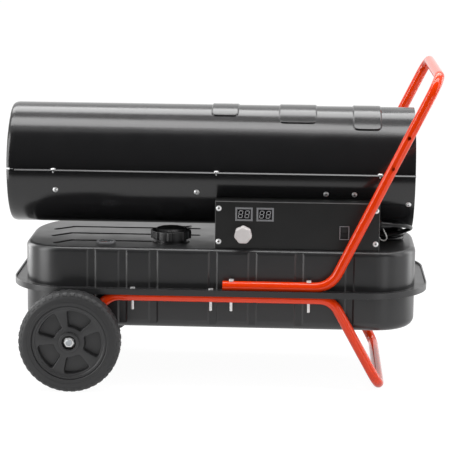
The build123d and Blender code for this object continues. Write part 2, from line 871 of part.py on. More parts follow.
for side, word in ((-1, "near"), (1, "far")):
    middle = side * wheel_track / 2
    outside = Plane(origin=(wheel_x, middle + side * disc_out, axle_z), x_dir=(1, 0, 0), z_dir=(0, side, 0))
    inside = Plane(origin=(wheel_x, middle - side * disc_in, axle_z), x_dir=(1, 0, 0), z_dir=(0, side, 0))
    with BuildPart() as rim:
        with BuildSketch(Plane.YZ.offset(wheel_x)):
            with BuildLine():
                wheel_section(rim_points, side)
            make_face()
        revolve(axis=wheel_axis)
        with BuildSketch(outside):
            with PolarLocations(0, spoke_count, start_angle=window_turn):
                add(window_face)
        extrude(amount=web_half - disc_out, mode=Mode.SUBTRACT)
        with BuildSketch(inside):
            with PolarLocations(0, spoke_count, start_angle=window_turn):
                add(window_face)
        extrude(amount=disc_in - web_half, mode=Mode.SUBTRACT)
    finish(rim, f"wheel_rim_{word}")
    with BuildPart() as tyre:
        with BuildSketch(Plane.YZ.offset(wheel_x)):
            with BuildLine():
                wheel_section(tyre_points, side)
            make_face()
        revolve(axis=wheel_axis)
    finish(tyre, f"wheel_tyre_{word}")


# Barrel: one round shell with a curled front edge, cut into two at the seam
def barrel_tube(inset, rear_x):
    front_x = barrel_front_x + inset
    outer_z = barrel_z + barrel_r - inset
    curl_x = barrel_front_x + barrel_curl_l
    curl_z = barrel_z + barrel_r - barrel_curl_h
    curl_l, curl_h = curl_x - front_x, outer_z - curl_z
    with BuildPart() as solid:
        with BuildSketch(Plane.XZ):
            with BuildLine():
                Line((front_x, barrel_z), (front_x, curl_z))
                EllipticalCenterArc((curl_x, curl_z), curl_l, curl_h, start_angle=90, arc_size=90)
                Polyline((curl_x, outer_z), (rear_x, outer_z), (rear_x, barrel_z), (front_x, barrel_z))
            make_face()
        revolve(axis=barrel_axis)
    return solid.part


seam_z = barrel_z + seam_rise
barrel_solid = barrel_tube(0, barrel_rear_x)
barrel_hollow = barrel_tube(barrel_wall, barrel_rear_x + overrun)
with BuildPart() as barrel_shell:
    add(barrel_solid)
    add(barrel_hollow, mode=Mode.SUBTRACT)
    with BuildSketch(Plane.YZ.offset(barrel_front_x - overrun)):
        with Locations((0, barrel_z)):
            Circle(barrel_r - barrel_curl_h)
    extrude(amount=barrel_curl_l, mode=Mode.SUBTRACT)
    with BuildSketch(Plane.YZ.offset(barrel_front_x)):
        with Locations((0, seam_z)):
            Rectangle(2 * barrel_r, rim_notch_h)
    extrude(amount=rim_notch_l, mode=Mode.SUBTRACT)
barrel_whole = barrel_shell.part

upper_seam_z = seam_z + seam_gap / 2
lower_seam_z = seam_z - seam_gap / 2
seam_screw_y = barrel_r + seam_flange / 2
seam_screw_spots = []
screw_places = []
for sign in (-1, 1):
    for share in seam_screw_shares:
        seam_screw_spots.append((barrel_place(share), sign * seam_screw_y))
    for share in side_screw_shares:
        screw_places.append((barrel_place(share), sign * (90 + side_screw_angle)))
    screw_places.append((barrel_place(tail_screw_share), sign * (90 + tail_screw_angle)))


with BuildPart() as screw_bores:
    for x, angle in screw_places:
        with BuildSketch(radial_out(x, barrel_r - 3 * barrel_wall, angle)):
            Circle(screw_hole_r)
        extrude(amount=4 * barrel_wall)
    with BuildSketch(Plane.XY.offset(seam_z - 2 * barrel_wall)):
        with Locations(*seam_screw_spots):
            Circle(screw_hole_r)
    extrude(amount=4 * barrel_wall)
screw_bore_solids = screw_bores.part


# Flanges of a shell at both edges of the seam, as one sketch
seam_front_x = barrel_front_x + seam_flange_back
seam_flat_y = barrel_r + seam_flange - seam_lip


def seam_flanges(outer_y):
    reach = outer_y - barrel_r + barrel_wall / 2
    with BuildSketch() as outline:
        for side in (-1, 1):
            with Locations(((seam_front_x + barrel_rear_x) / 2, side * (outer_y - reach / 2))):
                Rectangle(barrel_rear_x - seam_front_x, reach)
    return outline.sketch


# Edges of the upper flanges, bent down over the lower ones
def seam_lips():
    run, fall = seam_lip * cos(radians(seam_lip_angle)), seam_lip * sin(radians(seam_lip_angle))
    out, rise = barrel_wall * sin(radians(seam_lip_angle)), barrel_wall * cos(radians(seam_lip_angle))
    with BuildSketch() as outline:
        for side in (-1, 1):
            with BuildLine():
                Polyline(
                    (side * seam_flat_y, upper_seam_z),
                    (side * (seam_flat_y + run), upper_seam_z - fall),
                    (side * (seam_flat_y + run + out), upper_seam_z - fall + rise),
                    (side * (seam_flat_y + out), upper_seam_z + barrel_wall),
                    (side * seam_flat_y, upper_seam_z + barrel_wall),
                    close=True,
                )
            make_face()
    return outline.sketch


lip_outline = seam_lips()


def pad(share, width_share, half_angle):
    width = width_share * barrel_length
    with BuildPart() as raised:
        with BuildSketch(radial_plane(barrel_place(share), half_angle)):
            with Locations((width / 2, barrel_r + (pad_rise - barrel_wall / 2) / 2)):
                Rectangle(width, pad_rise + barrel_wall / 2)
        revolve(axis=barrel_axis, revolution_arc=2 * half_angle)
        fillet(raised.edges().filter_by(lambda e: e.length < 3 * pad_rise), pad_corner_r)
        chamfer(raised.faces().filter_by(GeomType.CYLINDER).sort_by(SortBy.AREA)[-1].edges(), pad_edge)
    return raised.part


pads = [pad(*row) for row in pad_table_shares]
with BuildPart() as barrel_upper:
    add(barrel_whole)
    split(bisect_by=Plane.XY.offset(upper_seam_z), keep=Keep.TOP)
    with BuildSketch(Plane.XY.offset(upper_seam_z)):
        add(seam_flanges(seam_flat_y))
    extrude(amount=barrel_wall)
    with BuildSketch(Plane.YZ.offset(seam_front_x)):
        add(lip_outline)
    extrude(amount=barrel_rear_x - seam_front_x)
    for piece in pads:
        add(piece)
    add(screw_bore_solids, mode=Mode.SUBTRACT)
finish(barrel_upper, "barrel_upper")

# Lower shell, with a lap strip behind each edge of the seam
with BuildPart() as barrel_lower:
    add(barrel_whole)
    split(bisect_by=Plane.XY.offset(lower_seam_z), keep=Keep.BOTTOM)
    with BuildSketch(Plane.XY.offset(lower_seam_z)):
        add(seam_flanges(seam_flat_y - seat_gap))
    extrude(amount=-barrel_wall)
    lap_x = barrel_front_x + barrel_curl_l + overrun
    with BuildSketch(Plane.YZ.offset(lap_x)):
        with Locations((0, barrel_z)):
            Circle(barrel_r - barrel_wall - seat_gap / 2)
            Circle(barrel_r - 2 * barrel_wall - seat_gap / 2, mode=Mode.SUBTRACT)
            with Locations((0, seam_rise)):
                Rectangle(2 * barrel_r, 2 * lap_height, mode=Mode.INTERSECT)
    extrude(amount=barrel_rear_x - guard_inset - 2 * wire_r - lap_x)
    with BuildSketch(Plane.YZ.offset(lap_x)):
        with Locations((0, barrel_z)):
            Circle(barrel_r - barrel_wall / 2)
            Circle(barrel_r - 2 * barrel_wall, mode=Mode.SUBTRACT)
            with Locations((0, seam_rise - lap_height / 2 - seam_gap)):
                Rectangle(2 * barrel_r, lap_height, mode=Mode.INTERSECT)
    extrude(amount=barrel_rear_x - guard_inset - 2 * wire_r - lap_x)
    add(screw_bore_solids, mode=Mode.SUBTRACT)
    with BuildSketch(Plane.XY.offset(barrel_z - barrel_r - overrun)):
        with Locations((fuel_x, 0)):
            Circle(line_r + seat_gap)
    extrude(amount=barrel_wall + 2 * overrun, mode=Mode.SUBTRACT)
finish(barrel_lower, "barrel_lower")


# Screw with a flanged pan head, along a plane's normal
def screw(plane, length=screw_length):
    with BuildPart() as fastener:
        with BuildSketch(plane):
            Circle(screw_flange_r)
        extrude(amount=screw_flange_h)
        with BuildSketch(plane.offset(screw_flange_h)):
            Circle(screw_head_r)
        extrude(amount=screw_head_h - screw_flange_h, taper=20)
        with BuildSketch(plane):
            Circle(screw_r)
        extrude(amount=-length)
    return fastener.part


barrel_screw_solids = [screw(radial_out(x, barrel_r + seat_gap, angle)) for x, angle in screw_places]
for x, y in seam_screw_spots:
    barrel_screw_solids.append(screw(Plane((x, y, upper_seam_z + barrel_wall)), seam_screw_length))
with BuildPart() as barrel_screws:
    for piece in barrel_screw_solids:
        add(piece)
finish(barrel_screws, "barrel_screws")

# Saddles: cheeks, foot plate and a curved seat under the barrel
saddle_seat_r = barrel_r + seat_gap / 2
saddle_top_z = barrel_z - sqrt(saddle_seat_r**2 - saddle_half**2)
for share, word in zip(saddle_shares, ("front", "rear")):
    middle_x = barrel_place(share)
    with BuildPart() as saddle:
        for cheek_x in (middle_x - saddle_width / 2, middle_x + saddle_width / 2 - saddle_wall):
            with BuildSketch(Plane.YZ.offset(cheek_x)):
                with Locations((0, (tank_top_z + saddle_top_z) / 2)):
                    Rectangle(2 * saddle_half, saddle_top_z - tank_top_z)
                with Locations((0, barrel_z)):
                    Circle(saddle_seat_r, mode=Mode.SUBTRACT)
            extrude(amount=saddle_wall)
        with BuildSketch(Plane.YZ.offset(middle_x - saddle_width / 2)):
            with Locations((0, barrel_z)):
                Circle(saddle_seat_r + saddle_wall)
                Circle(saddle_seat_r, mode=Mode.SUBTRACT)
            with Locations((0, saddle_top_z - barrel_r / 2)):
                Rectangle(2 * saddle_half, barrel_r, mode=Mode.INTERSECT)
        extrude(amount=saddle_width)
        with BuildSketch(Plane.XY.offset(tank_top_z)):
            with Locations((middle_x, 0)):
                Rectangle(saddle_width, 2 * saddle_half)
        extrude(amount=saddle_wall)
    finish(saddle, f"{word}_saddle")


def ring_tube(front_x, rear_x, outer_r, wall):
    with BuildPart() as tube:
        with BuildSketch(Plane.YZ.offset(front_x)):
            with Locations((0, barrel_z)):
                Circle(outer_r)
                Circle(outer_r - wall, mode=Mode.SUBTRACT)
        extrude(amount=rear_x - front_x)
    return tube.part


# Combustion chamber: a steel drum with its front edge turned in
chamber_drum = ring_tube(chamber_front_x, chamber_rear_x, chamber_r, chamber_wall)
with BuildPart() as combustion_chamber:
    add(chamber_drum)
    with BuildSketch(Plane.YZ.offset(chamber_front_x)):
        with Locations((0, barrel_z)):
            Circle(chamber_r)
            Circle(chamber_mouth_r, mode=Mode.SUBTRACT)
    extrude(amount=chamber_wall)
finish(combustion_chamber, "combustion_chamber")

# Heat shield between the chamber and the barrel, on three tabs
bracket_angles = (0.0, 120.0, 240.0)
shield_drum = ring_tube(shield_front_x, shield_rear_x, shield_r, shield_wall)
with BuildPart() as heat_shield:
    add(shield_drum)
    for angle in bracket_angles:
        with BuildSketch(radial_plane(shield_tab_x, angle)):
            low = chamber_r + seat_gap
            high = shield_r - shield_wall / 2
            with Locations((0, (low + high) / 2)):
                Rectangle(bracket_width, high - low)
        extrude(amount=bracket_wall)
finish(heat_shield, "heat_shield")

# Brackets that hold the chamber in the barrel
with BuildPart() as chamber_brackets:
    for x in bracket_xs:
        for angle in bracket_angles:
            low = chamber_r + seat_gap
            high = sqrt((barrel_r - barrel_wall - seat_gap) ** 2 - (bracket_width / 2) ** 2)
            with BuildSketch(radial_plane(x, angle)):
                with Locations((0, (low + high) / 2)):
                    Rectangle(bracket_width, high - low)
            extrude(amount=bracket_wall)
            with BuildSketch(radial_plane(x, angle)):
                with Locations((0, high - bracket_wall / 2)):
                    Rectangle(bracket_width, bracket_wall)
            extrude(amount=bracket_width / 2)
finish(chamber_brackets, "chamber_brackets")

# Baffle in the outlet: a dished disc with slots, on four studs
baffle_x = chamber_front_x - baffle_stand
with BuildPart() as outlet_baffle:
    with BuildSketch(Plane.YZ.offset(baffle_x - baffle_wall)):
        with Locations((0, barrel_z)):
            Circle(baffle_r)
    extrude(amount=baffle_wall)
    with BuildSketch(Plane.YZ.offset(baffle_x - baffle_wall)):
        with Locations((0, barrel_z)):
            Circle(slot_ring_r - slot_l / 2 - slot_w)
    extrude(amount=-baffle_dish, taper=30)
    with BuildSketch(Plane.YZ.offset(baffle_x)):
        with Locations((0, barrel_z)):
            with PolarLocations(stud_ring_r, 4, start_angle=45):
                Circle(stud_r)
    extrude(amount=baffle_stand)
    with BuildSketch(Plane.YZ.offset(baffle_x)):
        with Locations((0, barrel_z)):
            with PolarLocations(slot_ring_r, slot_count):
                SlotOverall(slot_l, slot_w)
    extrude(amount=-baffle_wall, mode=Mode.SUBTRACT)
finish(outlet_baffle, "outlet_baffle")

# Burner head: the plate that closes the chamber, with a hub for the nozzle
burner_x = chamber_rear_x - burner_wall
with BuildPart() as burner_head:
    with BuildSketch(Plane.YZ.offset(burner_x)):
        with Locations((0, barrel_z)):
            Circle(chamber_r - chamber_wall - seat_gap)
    extrude(amount=burner_wall)
    with BuildSketch(Plane.YZ.offset(chamber_rear_x)):
        with Locations((0, barrel_z)):
            Circle(burner_hub_r)
    extrude(amount=burner_hub_l)
    with BuildSketch(Plane.YZ.offset(burner_x)):
        with Locations((0, barrel_z)):
            Circle(nozzle_r + running_gap)
            with PolarLocations((chamber_r + slot_ring_r) / 2, slot_count, start_angle=180 / slot_count):
                SlotOverall(slot_l, slot_w)
        with Locations((0, barrel_z + igniter_rise)):
            Circle(igniter_r + running_gap)
        with Locations((sensor_reach, barrel_z)):
            Circle(sensor_r + running_gap)
    extrude(amount=burner_wall + burner_hub_l, mode=Mode.SUBTRACT)
finish(burner_head, "burner_head")

nozzle_rear_x = chamber_rear_x + burner_hub_l + nozzle_back
nozzle_front_x = nozzle_rear_x - nozzle_l
with BuildPart() as nozzle:
    with BuildSketch(Plane.YZ.offset(nozzle_front_x)):
        with Locations((0, barrel_z)):
            Circle(nozzle_r)
    extrude(amount=nozzle_l)
    with BuildSketch(Plane.YZ.offset(nozzle_front_x)):
        with Locations((0, barrel_z)):
            Circle((nozzle_r + nozzle_tip_r) / 2)
    extrude(amount=-nozzle_tip_l, taper=15)
finish(nozzle, "nozzle")

# Igniter: a ceramic rod with its electrode
igniter_rear_x = chamber_rear_x + igniter_behind
with BuildPart() as igniter:
    with BuildSketch(Plane.YZ.offset(igniter_rear_x)):
        with Locations((0, barrel_z + igniter_rise)):
            Circle(igniter_r)
    extrude(amount=-igniter_l)
    with BuildSketch(Plane.YZ.offset(igniter_rear_x - igniter_l)):
        with Locations((0, barrel_z + igniter_rise)):
            Circle(electrode_r)
    extrude(amount=-electrode_l)
finish(igniter, "igniter")

# Flame sensor on the back of the burner head
with BuildPart() as flame_sensor:
    with BuildSketch(Plane.YZ.offset(chamber_rear_x + seat_gap)):
        with Locations((sensor_reach, barrel_z)):
            RectangleRounded(sensor_box, sensor_box, sensor_box / 8)
    extrude(amount=sensor_box)
    with BuildSketch(Plane.YZ.offset(chamber_rear_x + seat_gap)):
        with Locations((sensor_reach, barrel_z)):
            Circle(sensor_r)
    extrude(amount=-sensor_neck)
finish(flame_sensor, "flame_sensor")

# Motor with its shaft
with BuildPart() as motor_body:
    with BuildSketch(Plane.YZ.offset(motor_x)):
        with Locations((0, barrel_z)):
            Circle(motor_step_r)
    extrude(amount=motor_l)
    with BuildSketch(Plane.YZ.offset(motor_x + motor_step)):
        with Locations((0, barrel_z)):
            Circle(motor_r)
    extrude(amount=motor_l - 2 * motor_step)
    with BuildSketch(Plane.YZ.offset(motor_x)):
        with Locations((0, barrel_z)):
            Circle(shaft_r + running_gap)
    extrude(amount=motor_l, mode=Mode.SUBTRACT)
finish(motor_body, "motor_body")

shaft_rear_x = pump_cover_x - running_gap - overrun
with BuildPart() as motor_shaft:
    with BuildSketch(Plane.YZ.offset(shaft_front_x)):
        with Locations((0, barrel_z)):
            Circle(shaft_r)
    extrude(amount=shaft_rear_x - shaft_front_x)
finish(motor_shaft, "motor_shaft")

# Bracket: a ring round the motor with three arms to the barrel
arm_plate_x = motor_x + arm_x
arm_tip_r = sqrt((barrel_r - barrel_wall - seat_gap) ** 2 - (arm_width / 2) ** 2)
with BuildPart() as motor_bracket:
    with BuildSketch(Plane.YZ.offset(arm_plate_x)):
        with Locations((0, barrel_z)):
            Circle(motor_r + arm_ring)
        with Locations((0, barrel_z)):
            with PolarLocations((motor_r + arm_tip_r) / 2, len(bracket_angles), start_angle=90):
                Rectangle(arm_tip_r - motor_r - arm_foot_wall, arm_width)
            Circle(motor_r + running_gap, mode=Mode.SUBTRACT)
    extrude(amount=arm_wall)
    for angle in bracket_angles:
        with BuildSketch(radial_out(arm_plate_x + arm_foot / 2, arm_tip_r - arm_foot_wall, -angle)):
            Rectangle(arm_foot, arm_width)
        extrude(amount=arm_foot_wall)
finish(motor_bracket, "motor_bracket")

# Axial fan: a cupped hub with pitched blades
blade_reach = fan_r - fan_hub_r + blade_root
with BuildPart() as blade_plate:
    lean = radians(blade_pitch)
    blade_root_place = (fan_x + fan_hub_l / 2, 0, barrel_z)
    with BuildSketch(Plane(origin=blade_root_place, x_dir=(0, 0, 1), z_dir=(cos(lean), sin(lean), 0))):
        with Locations((fan_hub_r - blade_root + blade_reach / 2, 0)):
            RectangleRounded(blade_reach, blade_chord, blade_chord / 4)
    extrude(amount=blade_wall / 2, both=True)
blade = blade_plate.part
with BuildPart() as fan:
    with BuildSketch(Plane.YZ.offset(fan_x)):
        with Locations((0, barrel_z)):
            Circle(fan_hub_r)
    extrude(amount=fan_hub_l)
    for index in range(blade_count):
        add(blade.rotate(barrel_axis, index * 360 / blade_count))
    with BuildSketch(Plane.YZ.offset(fan_x + fan_hub_wall)):
        with Locations((0, barrel_z)):
            Circle(fan_hub_r - fan_hub_wall)
            Circle(shaft_r + fan_hub_wall, mode=Mode.SUBTRACT)
    extrude(amount=fan_hub_l, mode=Mode.SUBTRACT)
    with BuildSketch(Plane.YZ.offset(fan_x)):
        with Locations((0, barrel_z)):
            Circle(shaft_r + running_gap)
    extrude(amount=fan_hub_l, mode=Mode.SUBTRACT)
finish(fan, "fan")

# Air pump behind the motor: a ring with a bore, its rotor and the cover that holds the air filter
with BuildPart() as pump_body:
    with BuildSketch(Plane.YZ.offset(pump_x)):
        with Locations((0, barrel_z)):
            Circle(pump_r)
            Circle(shaft_r + running_gap, mode=Mode.SUBTRACT)
    extrude(amount=pump_back)
    with BuildSketch(Plane.YZ.offset(pump_rotor_x)):
        with Locations((0, barrel_z)):
            Circle(pump_r)
            Circle(pump_bore_r, mode=Mode.SUBTRACT)
    extrude(amount=pump_ring_l)
finish(pump_body, "pump_body")

with BuildPart() as pump_rotor:
    with BuildSketch(Plane.YZ.offset(pump_rotor_x + seat_gap)):
        with Locations((0, barrel_z)):
            Circle(rotor_r)
            Circle(shaft_r + running_gap, mode=Mode.SUBTRACT)
            with PolarLocations(rotor_r - 2 * wire_r, 4):
                Rectangle(5 * wire_r, 2 * wire_r, mode=Mode.SUBTRACT)
    extrude(amount=pump_ring_l - 2 * seat_gap)
finish(pump_rotor, "pump_rotor")

with BuildPart() as filter_cover:
    with BuildSketch(Plane.YZ.offset(pump_cover_x)):
        with Locations((0, barrel_z)):
            Circle(pump_r)
    extrude(amount=pump_cover_l)
    fillet(filter_cover.faces().sort_by(Axis.X)[-1].edges(), pump_cover_l / 4)
    with BuildSketch(Plane.YZ.offset(pump_cover_x + pump_cover_l)):
        with Locations((0, barrel_z)):
            Circle(filter_r)
    extrude(amount=filter_l)
    with BuildSketch(Plane.YZ.offset(pump_cover_x + pump_cover_l + filter_l)):
        with Locations((0, barrel_z)):
            with PolarLocations(filter_r * filter_slot_share, filter_slots):
                SlotOverall(filter_r * filter_slot_share, 2 * wire_r)
    extrude(amount=-filter_l / 2, mode=Mode.SUBTRACT)
finish(filter_cover, "filter_cover")

# Inlet guard: wire rings, each of two half turns, welded to wire spokes
with BuildPart() as inlet_guard:
    small_ring_r = guard_ring_shares[0] * guard_r
    for index in range(guard_spokes):
        with BuildSketch(radial_out(guard_x + wire_r, small_ring_r, index * 360 / guard_spokes)):
            Circle(wire_r)
        extrude(amount=guard_r - small_ring_r)
    for share in guard_ring_shares:
        for angle in (guard_turn, guard_turn + half_turn):
            with BuildSketch(radial_plane(guard_x, angle)):
                with Locations((0, share * guard_r)):
                    Circle(wire_r)
            revolve(axis=barrel_axis, revolution_arc=half_turn)
finish(inlet_guard, "inlet_guard")

# Control box: a sheet case that is open to the panel, cut to the barrel's curve
box_mid_x = box_x + box_length / 2
case_front_y = box_front_y + panel_wall
case_rear_y = box_front_y + box_depth
box_top_z = tank_top_z + box_height


def box_section(inset, front_y):
    depth = case_rear_y - front_y - inset
    with Locations((front_y + depth / 2, (tank_top_z + box_top_z) / 2)):
        Rectangle(depth, box_height - 2 * inset)
    with Locations((0, barrel_z)):
        Circle(barrel_r + box_barrel_gap + inset, mode=Mode.SUBTRACT)


with BuildPart() as control_box:
    with BuildSketch(Plane.YZ.offset(box_x)):
        box_section(0, case_front_y)
    extrude(amount=box_length)
    with BuildSketch(Plane.YZ.offset(box_x + box_wall)):
        box_section(box_wall, case_front_y - overrun)
    extrude(amount=box_length - 2 * box_wall, mode=Mode.SUBTRACT)
    with BuildSketch(Plane.YZ.offset(box_x + box_length)):
        with Locations((gland_y, gland_z)):
            Circle(gland_body_r + running_gap)
    extrude(amount=-box_wall, mode=Mode.SUBTRACT)
finish(control_box, "control_box")

# Front panel, with openings for the displays, the knob's bush, the switch and four screws
panel_top = box_top_z - display_drop - display_h / 2
display_xs = [box_x + display_side + display_w / 2 + i * (display_w + display_gap) for i in (0, 1)]
knob_x = box_x + knob_side
knob_z = tank_top_z + knob_lift
switch_x = box_x + box_length - switch_end
switch_z = tank_top_z + switch_lift
panel_screw_xs = (box_x + panel_screw_side, box_x + box_length - panel_screw_side)
panel_screw_zs = (tank_top_z + panel_screw_edge, box_top_z - panel_screw_edge)
panel_screw_spots = [(x, z) for x in panel_screw_xs for z in panel_screw_zs]
panel_front = Plane.XZ.offset(-box_front_y)
with BuildPart() as control_panel:
    with BuildSketch(panel_front):
        with Locations((box_mid_x, tank_top_z + box_height / 2)):
            Rectangle(box_length, box_height)
        with Locations(*[(x, panel_top) for x in display_xs]):
            Rectangle(display_w + 2 * running_gap, display_h + 2 * running_gap, mode=Mode.SUBTRACT)
        with Locations((knob_x, knob_z)):
            Circle(bush_r + running_gap, mode=Mode.SUBTRACT)
        with Locations((switch_x, switch_z)):
            Rectangle(switch_body_w + 2 * running_gap, switch_body_h + 2 * running_gap, mode=Mode.SUBTRACT)
        with Locations(*panel_screw_spots):
            Circle(screw_hole_r, mode=Mode.SUBTRACT)
    extrude(amount=-panel_wall)
finish(control_panel, "control_panel")

panel_screw_planes = [Plane(origin=(x, box_front_y, z), z_dir=(0, -1, 0)) for x, z in panel_screw_spots]
panel_screw_solids = [screw(plane) for plane in panel_screw_planes]
with BuildPart() as panel_screws:
    for piece in panel_screw_solids:
        add(piece)
finish(panel_screws, "panel_screws")

# Two display modules in the panel
with BuildPart() as displays:
    with BuildSketch(panel_front.offset(display_proud)):
        with Locations(*[(x, panel_top) for x in display_xs]):
            Rectangle(display_w, display_h)
    extrude(amount=-display_t - display_proud)
finish(displays, "displays")

# Thermostat behind the panel, with a threaded bush for the knob's shaft
with BuildPart() as thermostat:
    with BuildSketch(panel_front.offset(-panel_wall)):
        with Locations((knob_x, knob_z)):
            Circle(thermostat_r)
    extrude(amount=-thermostat_l)
    with BuildSketch(panel_front.offset(-panel_wall)):
        with Locations((knob_x, knob_z)):
            Circle(bush_r)
    extrude(amount=panel_wall + bush_l)
    with BuildSketch(panel_front.offset(bush_l)):
        with Locations((knob_x, knob_z)):
            Circle(knob_shaft_r + running_gap)
    extrude(amount=-(bush_l + panel_wall + thermostat_l), mode=Mode.SUBTRACT)
finish(thermostat, "thermostat")

# Thermostat knob with finger lobes, on its own shaft
with BuildPart() as thermostat_knob:
    with BuildSketch(panel_front.offset(knob_gap)):
        with Locations((knob_x, knob_z)):
            Circle(knob_r)
            with PolarLocations(knob_reach - knob_lobe_r, knob_lobes, start_angle=90):
                Circle(knob_lobe_r)
    extrude(amount=knob_l)
    fillet(thermostat_knob.faces().sort_by(Axis.Y)[0].edges(), knob_gap)
    with BuildSketch(panel_front.offset(knob_gap)):
        with Locations((knob_x, knob_z)):
            Circle(bush_r + bush_gap)
    extrude(amount=bush_l, mode=Mode.SUBTRACT)
    with BuildSketch(panel_front.offset(bush_l + knob_gap)):
        with Locations((knob_x, knob_z)):
            Circle(knob_shaft_r)
    extrude(amount=-(bush_l + knob_gap + panel_wall + thermostat_l - 2 * seat_gap))
finish(thermostat_knob, "thermostat_knob")

# Switch housing with its bezel, and the rocker on two pins
cavity_w = switch_body_w - 2 * switch_wall
cavity_h = switch_body_h - 2 * switch_wall
pivot_y = box_front_y + rocker_pivot
with BuildPart() as switch_body:
    with BuildSketch(panel_front):
        with Locations((switch_x, switch_z)):
            RectangleRounded(switch_w, switch_h, switch_bezel)
    extrude(amount=switch_bezel)
    with BuildSketch(panel_front):
        with Locations((switch_x, switch_z)):
            Rectangle(switch_body_w, switch_body_h)
    extrude(amount=-switch_body_l)
    with BuildSketch(panel_front.offset(switch_bezel)):
        with Locations((switch_x, switch_z)):
            Rectangle(cavity_w, cavity_h)
    extrude(amount=-(switch_body_l / 2 + switch_bezel), mode=Mode.SUBTRACT)
    with BuildSketch(Plane.YZ.offset(switch_x - switch_body_w / 2 + switch_wall)):
        with Locations((pivot_y, switch_z)):
            Circle(rocker_pin_r + running_gap)
    extrude(amount=-rocker_pin_l - seat_gap, mode=Mode.SUBTRACT)
    with BuildSketch(Plane.YZ.offset(switch_x + switch_body_w / 2 - switch_wall)):
        with Locations((pivot_y, switch_z)):
            Circle(rocker_pin_r + running_gap)
    extrude(amount=rocker_pin_l + seat_gap, mode=Mode.SUBTRACT)
finish(switch_body, "switch_body")

rocker_w = cavity_w - 2 * rocker_gap
tilt = radians(rocker_tilt)
rocker_face = rocker_depth - rocker_back
rocker_outline = [(-rocker_face - rocker_h / 2 * sin(tilt), rocker_h / 2), (-rocker_face, 0)]
rocker_outline += [(-rocker_face - rocker_h / 2 * sin(tilt), -rocker_h / 2), (rocker_back, -rocker_h / 3)]
rocker_outline += [(rocker_back, rocker_h / 3)]
with BuildPart() as rocker_block:
    with BuildSketch(Plane.YZ.offset(switch_x - rocker_w / 2)):
        with BuildLine():
            Polyline(*[(pivot_y + a, switch_z + b) for a, b in rocker_outline], close=True)
        make_face()
    extrude(amount=rocker_w)
    with BuildSketch(Plane.YZ.offset(switch_x - cavity_w / 2 - rocker_pin_l)):
        with Locations((pivot_y, switch_z)):
            Circle(rocker_pin_r)
    extrude(amount=cavity_w + 2 * rocker_pin_l)
rocker_solid = rocker_block.part.rotate(Axis((switch_x, pivot_y, switch_z), (1, 0, 0)), -rocker_tilt)
with BuildPart() as rocker:
    add(rocker_solid)
finish(rocker, "rocker")

# Circuit board on standoffs, with two relays and a controller
box_floor_z = tank_top_z + box_wall
board_z = box_floor_z + board_lift
with BuildPart() as circuit_board:
    with BuildSketch(Plane.XY.offset(board_z)):
        with Locations((board_x + board_l / 2, board_y)):
            Rectangle(board_l, board_w)
    extrude(amount=board_t)
    with BuildSketch(Plane.XY.offset(box_floor_z)):
        with Locations((board_x + board_l / 2, board_y)):
            with GridLocations(board_l - 3 * standoff_r, board_w - 3 * standoff_r, 2, 2):
                Circle(standoff_r)
    extrude(amount=board_lift)
    for along, across, long_share, wide_share, high_share in chip_table_shares:
        with BuildSketch(Plane.XY.offset(board_z + board_t)):
            with Locations((board_x + board_l / 2 + along * board_l, board_y + across * board_w)):
                Rectangle(long_share * board_l, wide_share * board_w)
        extrude(amount=high_share * box_height)
finish(circuit_board, "circuit_board")

# Ignition transformer on the floor of the box
with BuildPart() as ignition_coil:
    with BuildSketch(Plane.XY.offset(box_floor_z)):
        with Locations((coil_x, coil_y)):
            Rectangle(coil_l, coil_w)
    extrude(amount=coil_h)
    chamfer(ignition_coil.faces().sort_by(Axis.Z)[-1].edges(), box_wall)
finish(ignition_coil, "ignition_coil")


# Lines: solid rods along bent paths
def rod_along(points, radii, radius):
    with BuildPart() as rod:
        with BuildLine() as path:
            FilletPolyline(*points, radius=radii)
        with BuildSketch(Plane(origin=path.line @ 0, z_dir=path.line % 0)):
            Circle(radius)
        sweep(path=path.line)
    return rod.part


# Fuel line from the pickup filter in the tank up to the nozzle
pickup_z = tank_bottom_z + tank_wall + pickup_lift
fuel_points = [(fuel_x, 0, pickup_z), (fuel_x, 0, barrel_z), (nozzle_rear_x, 0, barrel_z)]
fuel_rod = rod_along(fuel_points, [line_bend_r], line_r)
with BuildPart() as fuel_line:
    add(fuel_rod)
    with BuildSketch(Plane.XY.offset(pickup_z)):
        with Locations((fuel_x, 0)):
            Circle(pickup_r)
    extrude(amount=pickup_l)
finish(fuel_line, "fuel_line")

# Air line from the pump round the fan to the nozzle
slant = sqrt(0.5)
air_y = air_reach * slant
air_z = barrel_z - air_reach * slant
air_rear_x = pump_rotor_x + pump_ring_l / 2
port_reach = pump_r + air_seat * seat_gap
nozzle_port_x = nozzle_rear_x - nozzle_back / 2
air_points = [(air_rear_x, port_reach * slant, barrel_z - port_reach * slant), (air_rear_x, air_y, air_z)]
air_points += [(air_front_x, air_y, air_z)]
air_points += [(nozzle_port_x, (nozzle_r + line_r) * slant, barrel_z - (nozzle_r + line_r) * slant)]
air_rod = rod_along(air_points, [line_bend_r, line_bend_r], line_r)
with BuildPart() as air_line:
    add(air_rod)
finish(air_line, "air_line")

# Cord gland on the end of the control box, with its tapered strain relief
gland_x = box_x + box_length
gland_tip_x = gland_x + gland_nut_l + gland_relief_l
with BuildPart() as cord_gland:
    with BuildSketch(Plane.YZ.offset(gland_x)):
        with Locations((gland_y, gland_z)):
            RegularPolygon(gland_nut_r, 6)
    extrude(amount=gland_nut_l)
    with BuildSketch(Plane.YZ.offset(gland_x)):
        with Locations((gland_y, gland_z)):
            Circle(gland_body_r)
    extrude(amount=-gland_inner_l)
    with BuildSketch(Plane.YZ.offset(gland_x + gland_nut_l)):
        with Locations((gland_y, gland_z)):
            Circle(gland_body_r)
    with BuildSketch(Plane.YZ.offset(gland_tip_x)):
        with Locations((gland_y, gland_z)):
            Circle(gland_tip_r)
    loft()
finish(cord_gland, "cord_gland")


